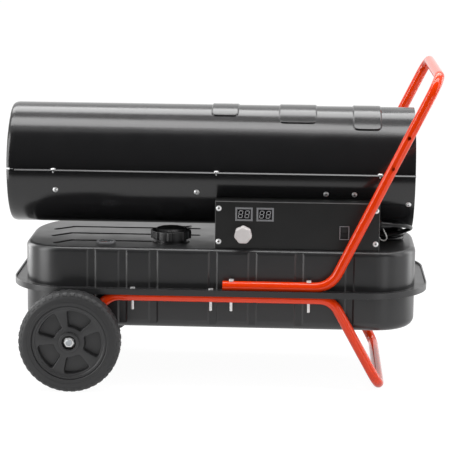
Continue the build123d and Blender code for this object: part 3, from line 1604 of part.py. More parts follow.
# Cord: each free stretch is a run of points with one rounded corner at each
def corner_radii(points):
    radii = []
    for before, corner, after in zip(points, points[1:], points[2:]):
        arriving = Vector(*corner) - Vector(*before)
        leaving = Vector(*after) - Vector(*corner)
        half_turn = radians(arriving.get_angle(leaving)) / 2
        radii.append(0.45 * min(arriving.length, leaving.length) / tan(half_turn))
    return radii


def cord_stretch(points, name):
    radii = corner_radii(points)
    print(name, "corner radii", [round(r, 1) for r in radii])
    with BuildPart() as stretch:
        with BuildLine() as path:
            FilletPolyline(*points, radius=radii)
        with BuildSketch(Plane(origin=path.line @ 0, z_dir=path.line % 0)):
            Circle(cord_d / 2)
        sweep(path=path.line)
    length = path.wire().length
    expected = length * pi * (cord_d / 2) ** 2
    print(name, "length", round(length, 1), "volume ratio", stretch.part.volume / expected)
    finish(stretch, name)
    return length


# Lead from the gland, round behind the box and down onto the hank
lead_points = [
    (gland_tip_x, gland_y, gland_z),
    (359.0, gland_y, gland_z),
    (375.0, -108.0, 316.0),
    (375.5, -84.5, 308.0),
    (359.0, hank_near_y, 299.0),
    (337.0, hank_near_y, hank_high_z),
    (hank_free_x, hank_near_y, hank_high_z),
]
lead_length = cord_stretch(lead_points, "cord_lead")


def ease(start, end, heading):
    """Two equal arcs that leave and arrive along X and share the step between them."""
    middle = (start + end) * 0.5
    first = TangentArc(start, middle, tangent=(heading, 0, 0))
    TangentArc(middle, end, tangent=first % 1)


def waisted_run(start, end_x, heading, inward, drop):
    """Straight run that is drawn in at its middle, and may sink by a layer there."""
    middle_x = (hank_front_x + hank_rear_x) / 2
    narrow = Vector(middle_x, start.Y + inward * waist_in, start.Z - drop / 2)
    draw_start = Vector(middle_x - heading * waist_half, start.Y, start.Z)
    draw_end = Vector(middle_x + heading * waist_half, start.Y, start.Z - drop)
    run_end = Vector(end_x, start.Y, start.Z - drop)
    Line(start, draw_start)
    ease(draw_start, narrow, heading)
    ease(narrow, draw_end, heading)
    Line(draw_end, run_end)
    return run_end


# Hank: loops with a waist that spiral in on the upper layer, climb down on a run and spiral out below
turn_steps = (0, 1, 2, 3, 3, 2, 1)
climb_index = 4
hank_middle_y = hank_near_y + hank_turn_r
with BuildPart() as cord_hank:
    with BuildLine() as hank_path:
        here = Vector(hank_free_x, hank_near_y, hank_high_z)
        for index, steps in enumerate(turn_steps):
            heading = 1 if index % 2 else -1
            inward = 1 if here.Y < hank_middle_y else -1
            drop = hank_step if index == climb_index else 0
            turn_x = hank_rear_x if heading > 0 else hank_front_x
            here = waisted_run(here, turn_x, heading, inward, drop)
            radius = hank_turn_r - steps * hank_step / 2
            side = -heading
            tip = Vector(turn_x + heading * radius, here.Y + side * radius, here.Z)
            far_side = Vector(turn_x, here.Y + side * 2 * radius, here.Z)
            ThreePointArc(here, tip, far_side)
            here = far_side
        tail_start = waisted_run(here, hank_free_x, 1, -1, 0)
    with BuildSketch(Plane(origin=hank_path.line @ 0, z_dir=hank_path.line % 0)):
        Circle(cord_d / 2)
    sweep(path=hank_path.line)
hank_wire = hank_path.wire()
hank_length = hank_wire.length
hank_expected = hank_length * pi * (cord_d / 2) ** 2
print("cord_hank length", round(hank_length, 1), "volume ratio", cord_hank.part.volume / hank_expected)
finish(cord_hank, "cord_hank")

# Least gap of the hank to itself, from points along its middle line
sample_count = 1600
spots = [hank_wire @ (i / sample_count) for i in range(sample_count + 1)]
skip = int(3 * cord_d * sample_count / hank_length)
least = hank_length
for i in range(0, sample_count + 1, 2):
    for j in range(i + skip, sample_count + 1, 2):
        if abs(spots[i].Y - spots[j].Y) < 2 * cord_d:
            least = min(least, (spots[i] - spots[j]).length)
print("cord_hank least gap to itself", round(least - cord_d, 2))

# Tie round the hank's waist
tie_near_y = hank_near_y + waist_in - cord_d / 2 - seat_gap
tie_far_y = tail_start.Y - waist_in + cord_d / 2 + seat_gap
tie_low_z = hank_low_z - cord_d / 2 - seat_gap
tie_high_z = hank_high_z + cord_d / 2 + seat_gap
with BuildPart() as cord_tie:
    with BuildSketch(Plane.YZ.offset((hank_front_x + hank_rear_x - tie_width) / 2)):
        with Locations(((tie_near_y + tie_far_y) / 2, (tie_low_z + tie_high_z) / 2)):
            tie_y = tie_far_y - tie_near_y
            tie_z = tie_high_z - tie_low_z
            RectangleRounded(tie_y + 2 * tie_wall, tie_z + 2 * tie_wall, cord_d / 2)
            RectangleRounded(tie_y, tie_z, cord_d / 2 - tie_wall, mode=Mode.SUBTRACT)
    extrude(amount=tie_width)
finish(cord_tie, "cord_tie")

# Tail from the hank round to the plug
tail_points = [
    (hank_free_x, tail_start.Y, hank_low_z),
    (330.0, tail_start.Y, hank_low_z),
    (348.0, 12.0, hank_low_z),
    (361.0, 27.0, hank_low_z),
    (364.0, 47.0, hank_low_z + tie_wall),
    (356.0, 66.0, 285.0),
    (340.0, 79.0, 290.0),
    (321.0, plug_y, plug_z),
    (plug_tail_x, plug_y, plug_z),
]
tail_length = cord_stretch(tail_points, "cord_tail")
print("cord length", round(lead_length + hank_length + tail_length, 1))

# Plug: a round body that tapers to its cable end, with two contact pins
plug_body_x = plug_tail_x - plug_tail_l
plug_face_x = plug_body_x - plug_l
with BuildPart() as plug_body:
    with BuildSketch(Plane.YZ.offset(plug_tail_x)):
        with Locations((plug_y, plug_z)):
            Circle(plug_tail_r)
    with BuildSketch(Plane.YZ.offset(plug_body_x)):
        with Locations((plug_y, plug_z)):
            Circle(plug_back_r)
    loft()
    with BuildSketch(Plane.YZ.offset(plug_body_x)):
        with Locations((plug_y, plug_z)):
            Circle(plug_back_r)
    with BuildSketch(Plane.YZ.offset(plug_body_x - plug_l / 3)):
        with Locations((plug_y, plug_z)):
            Circle(plug_r)
    loft()
    with BuildSketch(Plane.YZ.offset(plug_face_x)):
        with Locations((plug_y, plug_z)):
            Circle(plug_r)
    extrude(amount=plug_l * 2 / 3)
    with BuildSketch(Plane.XY.offset(tank_top_z - plug_r)):
        with Locations((plug_body_x - plug_l / 2, plug_y)):
            Rectangle(2 * plug_l, 2 * plug_r)
    extrude(amount=plug_r, mode=Mode.SUBTRACT)
    with BuildSketch(Plane.YZ.offset(plug_face_x)):
        with Locations((plug_y, plug_z)):
            with GridLocations(plug_pin_span, 0, 2, 1):
                Circle(plug_pin_r)
    extrude(amount=plug_pin_l / 3, mode=Mode.SUBTRACT)
finish(plug_body, "plug_body")

with BuildPart() as plug_pins:
    with BuildSketch(Plane.YZ.offset(plug_face_x - plug_pin_l)):
        with Locations((plug_y, plug_z)):
            with GridLocations(plug_pin_span, 0, 2, 1):
                Circle(plug_pin_r)
    extrude(amount=plug_pin_l + plug_pin_l / 3)
finish(plug_pins, "plug_pins")
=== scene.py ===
# %% [markdown]
# # A portable oil-fired heater
# The real object is a sheet-steel barrel with a burner and a fan, bolted on a pressed fuel tank.
# A bent tube carries two hand-truck wheels, another bent tube is the push handle.
# Every solid comes from the CAD model, which is loaded as a fixed frame. This lesson adds what the
# CAD model leaves out: finishes, treads, screw recesses, display segments, the cord and the studio.

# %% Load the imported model
from math import asin, cos, hypot, pi, radians, sin, tan

import bmesh
import bpy
from mathutils import Matrix, Quaternion, Vector


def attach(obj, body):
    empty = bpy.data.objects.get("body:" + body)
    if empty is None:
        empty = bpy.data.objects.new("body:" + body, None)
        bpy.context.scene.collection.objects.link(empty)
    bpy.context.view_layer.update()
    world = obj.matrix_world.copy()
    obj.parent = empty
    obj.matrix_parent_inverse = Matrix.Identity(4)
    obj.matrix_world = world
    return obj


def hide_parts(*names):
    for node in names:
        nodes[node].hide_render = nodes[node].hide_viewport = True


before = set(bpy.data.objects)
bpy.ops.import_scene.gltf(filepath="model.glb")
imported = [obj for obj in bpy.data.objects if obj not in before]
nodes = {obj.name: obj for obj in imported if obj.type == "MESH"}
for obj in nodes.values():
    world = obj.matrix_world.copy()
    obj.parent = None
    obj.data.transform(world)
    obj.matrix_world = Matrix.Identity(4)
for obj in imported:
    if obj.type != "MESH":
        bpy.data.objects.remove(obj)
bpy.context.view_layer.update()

# %% [markdown]
# ## Millimetres and places
# The CAD model was drawn in millimetres and Blender works in metres, so one value turns one into
# the other. The places below are the CAD model's own: where the barrel's axis runs, where the
# panel's front lies and where the wheels turn. Each new piece starts from them.

# %% Shared sizes
MM = 0.001
BARREL_Z = 419.0
BARREL_R = 121.0
PANEL_FRONT_Y = -160.0
SEAT_GAP = 0.3
WHEEL_X = -290.0
WHEEL_Z = 100.0
WHEEL_MID_Y = 225.0
PHOTO_WIDTH = 450.0


def mm(*numbers):
    """A point given in millimetres, as a vector in metres."""
    return Vector(numbers) * MM


def put(data):
    """An object for a mesh, a curve, a lamp or a camera, linked to the scene."""
    item = bpy.data.objects.new(data.name, data)
    bpy.context.scene.collection.objects.link(item)
    return item


# %% [markdown]
# ## Camera
# The photograph was taken with a long lens from a little above and to the right, which shows in
# how the two rims of the barrel taper. The values come from solving where twenty points of the
# heater fall in the picture. Yaw, pitch and roll turn a camera that looks along +Y.

# %% Camera
FOCAL_PIXELS = 1890.8
SENSOR_WIDTH = 36.0
PITCH = radians(10.786)
YAW = radians(2.313)
ROLL = radians(0.617)
CAMERA_SPOT = mm(155.5, -3798.7, 1017.1)

camera_data = bpy.data.cameras.new("studio_camera")
camera_data.sensor_fit = "HORIZONTAL"
camera_data.sensor_width = SENSOR_WIDTH
camera_data.lens = FOCAL_PIXELS * SENSOR_WIDTH / PHOTO_WIDTH
camera_data.clip_end = 100.0
camera = put(camera_data)
bpy.context.scene.camera = camera

look = Vector((-sin(YAW) * cos(PITCH), cos(YAW) * cos(PITCH), -sin(PITCH)))
level_right = look.cross(Vector((0, 0, 1))).normalized()
level_up = level_right.cross(look)
right = cos(ROLL) * level_right + sin(ROLL) * level_up
up = cos(ROLL) * level_up - sin(ROLL) * level_right
facing = Matrix((right, up, -look)).transposed().to_4x4()
camera.matrix_world = Matrix.Translation(CAMERA_SPOT) @ facing
bpy.context.scene.view_settings.view_transform = "Standard"
print("lens", round(camera_data.lens, 2), "mm")

# %% [markdown]
# ## One function for every node
# Shader trees and geometry trees are built the same way: a node has its own settings, numbers on
# its sockets and links from other nodes. One small function does all three, so that a finish reads
# as a short list. Colours are written as on a paint card, in sRGB, and turned to linear light.


# %% Helpers for trees and colours
def node(tree, kind, values=None, links=None, **settings):
    """Adds a node: settings are its own, values go on its sockets, links come from other sockets."""
    made = tree.nodes.new(kind)
    for name, value in settings.items():
        setattr(made, name, value)
    for socket, value in (values or {}).items():
        made.inputs[socket].default_value = value
    for socket, source in (links or {}).items():
        tree.links.new(source, made.inputs[socket])
    return made


def linear(hex_colour):
    """An sRGB hex colour as linear red, green, blue and alpha."""
    channels = [int(hex_colour[i : i + 2], 16) / 255 for i in (1, 3, 5)]
    return (*[c / 12.92 if c <= 0.04045 else ((c + 0.055) / 1.055) ** 2.4 for c in channels], 1.0)


def grain_scale(size_mm):
    """Noise scale, per metre, whose features are about size_mm wide."""
    return 1.0 / (size_mm * MM)


# %% [markdown]
# ## A finish, layer by layer
# Most finishes here share one build-up: a colour that varies a little, a roughness that varies a
# little, and a relief from one or two sizes of grain. The function below wires that once. What
# makes each finish itself are the numbers: the size of its grain in millimetres, how deep it is,
# how glossy the skin is and whether it is metal.


# %% The shared build-up
def blank(name):
    """A new material and its shader tree."""
    material = bpy.data.materials.new(name)
    material.use_nodes = True
    return material, material.node_tree


def finish(
    name, colour, second, roughness, spread, grains, metallic=0.0, mottle_mm=40.0, edge_mm=0.0, **shader
):
    """A material: colour mottled with second, roughness +- spread, grains = [(size mm, depth mm)]."""
    material, tree = blank(name)
    surface = tree.nodes["Principled BSDF"]
    surface.inputs["Metallic"].default_value = metallic
    for socket, value in shader.items():
        surface.inputs[socket.replace("_", " ")].default_value = value
    place = node(tree, "ShaderNodeTexCoord").outputs["Object"]
    mottle_scale = {"Scale": grain_scale(mottle_mm), "Detail": 3.0}
    mottle = node(tree, "ShaderNodeTexNoise", mottle_scale, {"Vector": place})
    colours = {"A": linear(colour), "B": linear(second)}
    tint = node(tree, "ShaderNodeMix", colours, {"Factor": mottle.outputs["Fac"]}, data_type="RGBA")
    tree.links.new(tint.outputs["Result"], surface.inputs["Base Color"])
    sheen = node(
        tree, "ShaderNodeMapRange",
        {"From Min": 0.3, "From Max": 0.7, "To Min": roughness - spread, "To Max": roughness + spread},
        {"Value": mottle.outputs["Fac"]},
    )
    tree.links.new(sheen.outputs["Result"], surface.inputs["Roughness"])
    relief = None
    if edge_mm:
        relief = node(tree, "ShaderNodeBevel", {"Radius": edge_mm * MM}, samples=4).outputs["Normal"]
    for size_mm, depth_mm in grains:
        grain_size = {"Scale": grain_scale(size_mm), "Detail": 2.0}
        grain = node(tree, "ShaderNodeTexNoise", grain_size, {"Vector": place})
        links = {"Height": grain.outputs["Fac"]}
        if relief:
            links["Normal"] = relief
        relief = node(
            tree, "ShaderNodeBump", {"Strength": 1.0, "Distance": depth_mm * MM}, links
        ).outputs["Normal"]
    if relief:
        tree.links.new(relief, surface.inputs["Normal"])
    return material


def dress(material, *names):
    """Gives CAD nodes a finish in place of the plain colour that they were packed with."""
    for name in names:
        mesh = nodes[name].data
        mesh.materials.clear()
        mesh.materials.append(material)


# %% [markdown]
# ## Painted steel
# The barrel is sheet steel with baked gloss enamel: nearly black, smooth, with the faint orange
# peel of a sprayed coat and the slow waves of rolled sheet. The tank is pressed steel with a satin
# powder coat, whose grain is finer and whose reflections are wider. The tubes are a red-orange
# gloss powder coat. All three are dielectric skins, so they stay non-metal.

# %% Paints
barrel_enamel = finish(
    "gloss_black_baked_enamel", "#1a1a1b", "#1d1d1e", 0.18, 0.015, [(4.0, 0.004), (90.0, 0.25)]
)
tank_coat = finish(
    "satin_black_powder_coat", "#282829", "#2c2c2d", 0.31, 0.03, [(1.2, 0.010), (60.0, 0.12)], edge_mm=1.5
)
panel_coat = finish(
    "matt_black_powder_coat", "#161616", "#191919", 0.4, 0.03, [(0.9, 0.012)], edge_mm=2.2
)
tube_coat = finish(
    "red_orange_gloss_powder_coat", "#e33702", "#e73b04", 0.1, 0.02, [(1.5, 0.006)], mottle_mm=25.0,
    Specular_IOR_Level=0.4,
)
dress(barrel_enamel, "barrel_upper", "barrel_lower")
dress(tank_coat, "tank_upper", "tank_lower", "filler_neck")
dress(panel_coat, "control_box", "control_panel")
dress(tube_coat, "lower_frame", "push_handle")

# %% [markdown]
# ## Bare and plated metal
# Bolts, axle and brackets are zinc plated: a pale grey metal with a soft, slightly patchy shine.
# The screws are nickel plated and brighter. The combustion chamber is heat-resistant steel that
# has been rolled and welded, so it is darker and duller. Brass and cast or pressed aluminium are
# inside. Metals keep the default index of refraction.

# %% Metals
zinc = finish("bright_zinc_plated_steel", "#b9bcc0", "#a6aaae", 0.34, 0.08, [(0.8, 0.006)], 1.0, 6.0)
nickel = finish("nickel_plated_screw_steel", "#f0f0f0", "#e2e2e2", 0.34, 0.05, [(0.6, 0.004)], 0.65, 4.0)
dress(
    finish("passivated_bolt_zinc", "#ececec", "#dcdcdc", 0.36, 0.05, [(0.6, 0.004)], 0.6, 4.0, 0.3),
    "axle_nuts", "frame_bolts",
)
heat_steel = finish("rolled_heat_resistant_steel", "#77726c", "#66605a", 0.42, 0.08, [(1.0, 0.02)], 1.0, 18.0)
dress(finish("turned_brass", "#c39d55", "#b48d45", 0.28, 0.05, [(0.5, 0.004)], 1.0, 5.0), "nozzle", "plug_pins")
dress(finish("die_cast_aluminium", "#b3b5b8", "#a2a4a7", 0.48, 0.06, [(1.6, 0.03)], 1.0, 12.0), "pump_body")
dress(finish("pressed_aluminium_sheet", "#c4c6c9", "#b6b8bb", 0.33, 0.05, [(2.0, 0.01)], 1.0, 20.0), "fan")
dress(finish("grey_hammered_motor_paint", "#3a3d40", "#303335", 0.4, 0.06, [(2.5, 0.05)]), "motor_body")
dress(finish("black_dipped_steel_wire", "#1a1a1b", "#202021", 0.38, 0.04, [(1.0, 0.01)]), "inlet_guard")
dress(zinc, "axle", "axle_spacers", "drain_plug", "motor_bracket", "motor_shaft", "front_saddle", "rear_saddle")
dress(heat_steel, "burner_head", "chamber_brackets", "combustion_chamber", "heat_shield", "outlet_baffle")

# %% [markdown]
# ## Moulded plastics and rubbers
# Handles, caps and switches are injection-moulded: the tool was spark-eroded, which leaves a fine
# even grain under a half-matt skin. The wheel's rim is polypropylene filled with talc, which makes
# it grey. Cord and hoses are soft PVC and rubber, darker and smoother. The knob is off-white ABS.

# %% Plastics and rubbers
black_abs = finish("moulded_black_abs", "#1b1b1c", "#202021", 0.4, 0.04, [(0.7, 0.02)], 0.0, 15.0, 0.8)
rim_plastic = finish(
    "moulded_charcoal_polypropylene", "#313132", "#353536", 0.42, 0.05, [(0.8, 0.02)], edge_mm=1.2
)
tyre_rubber = finish("moulded_tyre_rubber", "#2b2b2c", "#303031", 0.55, 0.06, [(0.8, 0.02), (6.0, 0.03)])
dress(
    finish("grey_display_housing_abs", "#7e7e80", "#76777a", 0.45, 0.04, [(0.6, 0.01)]),
    "displays", "gauge_housing",
)
knob_abs = finish("moulded_off_white_abs", "#d3cecd", "#cbc6c5", 0.42, 0.04, [(0.8, 0.01)], 0.0, 12.0)
dress(finish("glazed_white_ceramic", "#e2ddcf", "#d9d3c4", 0.2, 0.03, [(1.5, 0.01)]), "igniter")
dress(finish("machined_carbon_rotor", "#46464a", "#3c3c40", 0.5, 0.05, [(0.5, 0.01)]), "pump_rotor")
dress(finish("green_solder_resist", "#1c5a34", "#17502c", 0.3, 0.05, [(1.0, 0.01)]), "circuit_board")
dress(finish("black_fuel_hose_rubber", "#1a1a1a", "#202020", 0.5, 0.05, [(0.8, 0.015)]), "fuel_line", "air_line")
cord_pvc = finish("black_pvc_cord_jacket", "#141415", "#19191a", 0.38, 0.05, [(0.7, 0.01), (9.0, 0.03)])
# Soft rubber for the cap's gasket, also used for the black rings of painted shade round the wheel nuts.
seal_rubber_and_nut_shade = finish("soft_seal_rubber", "#222222", "#282828", 0.6, 0.05, [(0.8, 0.02)])
tie_nylon = finish("moulded_grey_nylon", "#b9b9b6", "#adadaa", 0.45, 0.05, [(0.8, 0.01)])
dress(finish("foamed_float_plastic", "#3a3a3c", "#333335", 0.6, 0.05, [(1.0, 0.03)]), "float_arm")
dress(finish("red_pointer_plastic", "#c8321e", "#bd2c1a", 0.4, 0.04, [(0.6, 0.005)]), "gauge_pointer")
lens_clear = finish(
    "clear_polycarbonate_lens", "#eef2f3", "#f4f7f8", 0.06, 0.01, [(8.0, 0.002)],
    IOR=1.58, Transmission_Weight=0.95,
)
dress(
    black_abs, "filter_cover", "flame_sensor", "fuel_cap", "ignition_coil", "rocker", "switch_body", "thermostat"
)
dress(rim_plastic, "wheel_rim_near", "wheel_rim_far")
dress(tyre_rubber, "wheel_tyre_near", "wheel_tyre_far")
dress(knob_abs, "thermostat_knob")
dress(cord_pvc, "cord_gland", "cord_lead", "cord_hank", "cord_tail", "plug_body")
dress(seal_rubber_and_nut_shade, "cap_gasket")
dress(tie_nylon, "cord_tie")
dress(lens_clear, "gauge_lens")
print("finishes", len([m for m in bpy.data.materials if m.users]))

# %% [markdown]
# ## Power cord
# A three-core rubber-like cord, 8 mm thick, leaves the box's end through a gland, turns back
# behind the box and lies there in a hank with its plug beside it, as it is delivered. It is one
# smooth curve: a NURBS spline whose control points are the route's, so that it bends like
# a cord and not like pipe. A quadratic spline touches the middle of each run between its points,
# so six points round a half turn give an even bend.

# %% Cord route
CORD_D = 8.0
HANK_LOW, HANK_HIGH = 281.5, 290.5
HANK_FRONT_X, HANK_REAR_X = 211.0, 334.0
HANK_TIE_X = (HANK_FRONT_X + HANK_REAR_X) / 2
lead_route = [
    (337, -124, 322), (359, -124, 322), (375, -108, 316), (375.5, -84.5, 308),
    (359, -68, 299), (337, -68, 290.5), (315, -68, 290.5),
]
tail_route = [
    (315, 7, 281.5), (330, 7, 281.5), (348, 12, 281.5), (361, 27, 281.5), (364, 47, 282.7),
    (356, 66, 285), (340, 79, 290), (321, 84, 294), (293, 84, 294),
]


def hank_half(run_y, heading, radius, high, low):
    """Control points of one run, drawn in under the tie, and of the half turn at its end."""
    side = 1 if run_y < -30 else -1
    points = []
    for along, drawn, z in ((-34, 0, high), (-15, 6, high), (15, 6, low), (34, 0, low)):
        points.append((HANK_TIE_X + heading * along, run_y + side * drawn, z))
    turn_x = HANK_REAR_X if heading > 0 else HANK_FRONT_X
    turn_y = run_y + side * radius
    corner_r = radius / cos(radians(15))
    for angle in (-75, -45, -15, 15, 45, 75):
        lean = radians(angle)
        ahead, aside = corner_r * cos(lean), corner_r * sin(lean)
        points.append((turn_x + heading * ahead, turn_y + side * aside, low))
    return points


def round_line(name, route, radius):
    """A curve of even thickness whose quadratic spline follows the points of route, in mm."""
    curve = bpy.data.curves.new(name, "CURVE")
    curve.dimensions = "3D"
    line = curve.splines.new("NURBS")
    line.points.add(len(route) - 1)
    for point, spot in zip(line.points, route):
        point.co = (*mm(*spot), 1.0)
    line.order_u = 3
    line.use_endpoint_u = True
    curve.resolution_u = 6
    curve.bevel_depth = radius * MM
    curve.bevel_resolution = 3
    curve.use_fill_caps = True
    return put(curve)


hank_route = []
for run_y, heading, radius, high, low in (
    (-68, -1, 37.5, HANK_HIGH, HANK_HIGH), (7, 1, 33.0, HANK_HIGH, HANK_HIGH),
    (-59, -1, 28.5, HANK_HIGH, HANK_HIGH), (-2, 1, 24.0, HANK_HIGH, HANK_HIGH),
    (-50, -1, 24.0, HANK_HIGH, HANK_LOW), (-2, 1, 28.5, HANK_LOW, HANK_LOW),
    (-59, -1, 33.0, HANK_LOW, HANK_LOW),
):
    hank_route += hank_half(run_y, heading, radius, high, low)
hank_route += [(HANK_TIE_X + along, 7 - drawn, HANK_LOW) for along, drawn in ((-34, 0), (-15, 6), (15, 6))]
cord_route = lead_route[:-1] + hank_route + tail_route[1:]

# %% Cord
power_cord = round_line("power_cord", cord_route, CORD_D / 2)
power_cord.data.materials.append(cord_pvc)
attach(power_cord, "chassis")
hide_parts("cord_lead", "cord_hank", "cord_tail")
print("cord points", len(cord_route))

# %% [markdown]
# ## Meshes from code
# Small hardware is turned on a lathe or cut from a plate, and the code follows that: `lathe` spins
# a profile round an axis, `plate` gives a flat outline a thickness. `bridge` closes the skin
# between rings of points, and `add_piece` puts a mesh in the scene, gives it its finish and says
# which body carries it.


# %% Mesh helpers
def mesh_from(form, name, outward=True):
    """The mesh of a form, which goes. outward first turns every face to the outside."""
    if outward:
        bmesh.ops.recalc_face_normals(form, faces=form.faces)
    mesh = bpy.data.meshes.new(name)
    form.to_mesh(mesh)
    form.free()
    return mesh


def joined(name, meshes):
    """One mesh made of several."""
    form = bmesh.new()
    for mesh in meshes:
        form.from_mesh(mesh)
    return mesh_from(form, name, outward=False)


def bridge(form, rings):
    """Faces between every closed ring of vertices and the next."""
    for a, b in zip(rings, rings[1:]):
        for i in range(len(a)):
            j = (i + 1) % len(a)
            form.faces.new((a[i], a[j], b[j], b[i]))


def turns(steps):
    """Angles at equal steps round a circle."""
    return [2 * pi * i / steps for i in range(steps)]


def lathe(name, profile, steps):
    """A mesh from a profile of (radius, height) pairs in mm, spun round Z. Ends on the axis close."""
    form = bmesh.new()
    rings = []
    for radius, height in profile:
        if radius == 0:
            rings.append([form.verts.new(mm(0, 0, height))])
            continue
        spots = [mm(radius * cos(turn), radius * sin(turn), height) for turn in turns(steps)]
        rings.append([form.verts.new(spot) for spot in spots])
    for low, high in zip(rings, rings[1:]):
        for i in range(steps):
            j = (i + 1) % steps
            corners = [low[i % len(low)], low[j % len(low)], high[j % len(high)], high[i % len(high)]]
            form.faces.new(list(dict.fromkeys(corners)))
    return mesh_from(form, name)


def plate(name, outlines, thickness):
    """A mesh of flat outlines of (x, y) points in mm, raised by thickness mm along Z."""
    form = bmesh.new()
    for outline in outlines:
        low = [form.verts.new(mm(x, y, 0)) for x, y in outline]
        high = [form.verts.new(mm(x, y, thickness)) for x, y in outline]
        form.faces.new(low[::-1])
        form.faces.new(high)
        bridge(form, (low, high))
    return mesh_from(form, name)


def add_piece(mesh, material, body, smooth=35.0):
    """A finished piece that rides on a CAD body."""
    piece = put(mesh)
    if material:
        mesh.materials.clear()
        mesh.materials.append(material)
    mesh.shade_smooth()
    mesh.set_sharp_from_angle(angle=radians(smooth))
    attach(piece, body)
    print(piece.name, "faces", len(mesh.polygons))
    return piece


def settle(worker, name):
    """The plain mesh that an object with modifiers comes to. The object and its modifiers go."""
    graph = bpy.context.evaluated_depsgraph_get()
    mesh = bpy.data.meshes.new_from_object(worker.evaluated_get(graph))
    mesh.name = name
    worker.modifiers.clear()
    bpy.data.objects.remove(worker)
    return mesh


# %% [markdown]
# ## Placing hardware with Geometry Nodes
# Sixteen screws hold the barrel and four hold the panel, and they are all the same screw. So the
# screw is made once, and a Geometry Nodes tree sets a copy on each point of a small mesh. Each
# point stores the way that its screw faces, and a seeded random turn leaves no two crosses alike,
# as on a bench. The tree realises its copies, because an instance has no mesh of its own.


# %% Tree that sets one part on every point
def start_tree(name, inputs):
    """A geometry tree with (name, kind, default) inputs, and the identifiers a modifier sets them by."""
    tree = bpy.data.node_groups.new(name, "GeometryNodeTree")
    identifiers = {}
    for title, kind, default in inputs:
        made = tree.interface.new_socket(name=title, in_out="INPUT", socket_type="NodeSocket" + kind)
        if default is not None:
            made.default_value = default
        identifiers[title] = made.identifier
    tree.interface.new_socket(name="Geometry", in_out="OUTPUT", socket_type="NodeSocketGeometry")
    return tree, identifiers


def end_tree(tree, copies):
    """Ends a tree: the copies become one mesh, take the finish that is given and leave the tree."""
    real = node(tree, "GeometryNodeRealizeInstances", None, {"Geometry": copies.outputs["Instances"]})
    paint = {"Geometry": real.outputs["Geometry"], "Material": given["Finish"]}
    painted = node(tree, "GeometryNodeSetMaterial", None, paint)
    node(tree, "NodeGroupOutput", None, {"Geometry": painted.outputs["Geometry"]})
    print("tree", tree.name, "nodes", len(tree.nodes))


hardware = start_tree("set_hardware_on_points", (
    ("Points", "Geometry", None), ("Part", "Object", None), ("Largest turn", "Float", 0.0),
    ("Seed", "Int", 7), ("Finish", "Material", None),
))
tree = hardware[0]
given = node(tree, "NodeGroupInput").outputs
part = node(tree, "GeometryNodeObjectInfo", {"As Instance": True}, {"Object": given["Part"]})
aim = node(tree, "GeometryNodeInputNamedAttribute", {"Name": "facing"}, data_type="FLOAT_VECTOR")
aimed = node(tree, "FunctionNodeAlignRotationToVector", None, {"Vector": aim.outputs["Attribute"]}, axis="Z")
limits = {"Max": given["Largest turn"], "Seed": given["Seed"]}
chance = node(tree, "FunctionNodeRandomValue", None, limits, data_type="FLOAT")
spin = node(tree, "ShaderNodeCombineXYZ", None, {"Z": chance.outputs[1]})
aimed_turn = {"Rotation": aimed.outputs["Rotation"]}
turned = node(tree, "FunctionNodeRotateRotation", None, aimed_turn, rotation_space="LOCAL")
as_turn = node(tree, "FunctionNodeEulerToRotation", None, {"Euler": spin.outputs["Vector"]})
tree.links.new(as_turn.outputs["Rotation"], turned.inputs["Rotate By"])
copies = node(
    tree, "GeometryNodeInstanceOnPoints", None,
    {"Points": given["Points"], "Instance": part.outputs["Geometry"], "Rotation": turned.outputs["Rotation"]},
)
end_tree(tree, copies)


def run_tree(worker, started, values, name):
    """The mesh that a started tree makes of an object, with values on its inputs. The object goes."""
    step = worker.modifiers.new("step", "NODES")
    step.node_group, inputs = started
    for title, value in values.items():
        step[inputs[title]] = value
    return settle(worker, name)


def set_on_points(name, spots, part_mesh, material, seed):
    """One mesh with part_mesh on every (place in mm, facing) of spots, its Z along facing."""
    cloud = bpy.data.meshes.new(name + "_points")
    cloud.from_pydata([mm(*place) for place, _ in spots], [], [])
    aims = cloud.attributes.new("facing", "FLOAT_VECTOR", "POINT")
    for value, (_, facing) in zip(aims.data, spots):
        value.vector = facing
    part_item = put(part_mesh)
    values = {"Part": part_item, "Largest turn": pi, "Seed": seed, "Finish": material}
    mesh = run_tree(put(cloud), hardware, values, name)
    bpy.data.objects.remove(part_item)
    return mesh


# %% [markdown]
# ## Cross-recessed screws
# A pan head with a pressed flange under it and a cross recess, on a thread of 4 mm. The head is
# lathed with a rounded top, and two tapered bars are cut out of it with a boolean, which leaves
# the recess as real geometry. The thread is a stack of rings a pitch apart: at this size the eye
# can't tell rings from a helix.

# %% Screw
SCREW_R = 2.0
THREAD_PITCH = 0.8
FLANGE_R, FLANGE_H = 5.5, 0.9
HEAD_R, HEAD_H = 4.6, 2.6
BAR_LOW, BAR_TOP = (3.2, 0.8, 0.9), (6.0, 1.7, 3.4)  # length, width and height of a bar's two ends


def recess_bars():
    """Two crossed bars that narrow downwards, as a cutter for the recess."""
    form = bmesh.new()
    for turn in (0, pi / 2):
        bar = bmesh.ops.create_cube(form, size=1.0)["verts"]
        for vert in bar:
            length, width, height = BAR_LOW if vert.co.z < 0 else BAR_TOP
            vert.co = mm(vert.co.x * length, vert.co.y * width, height)
        bmesh.ops.rotate(form, verts=bar, cent=(0, 0, 0), matrix=Matrix.Rotation(turn, 3, "Z"))
    return mesh_from(form, "recess_bars", outward=False)


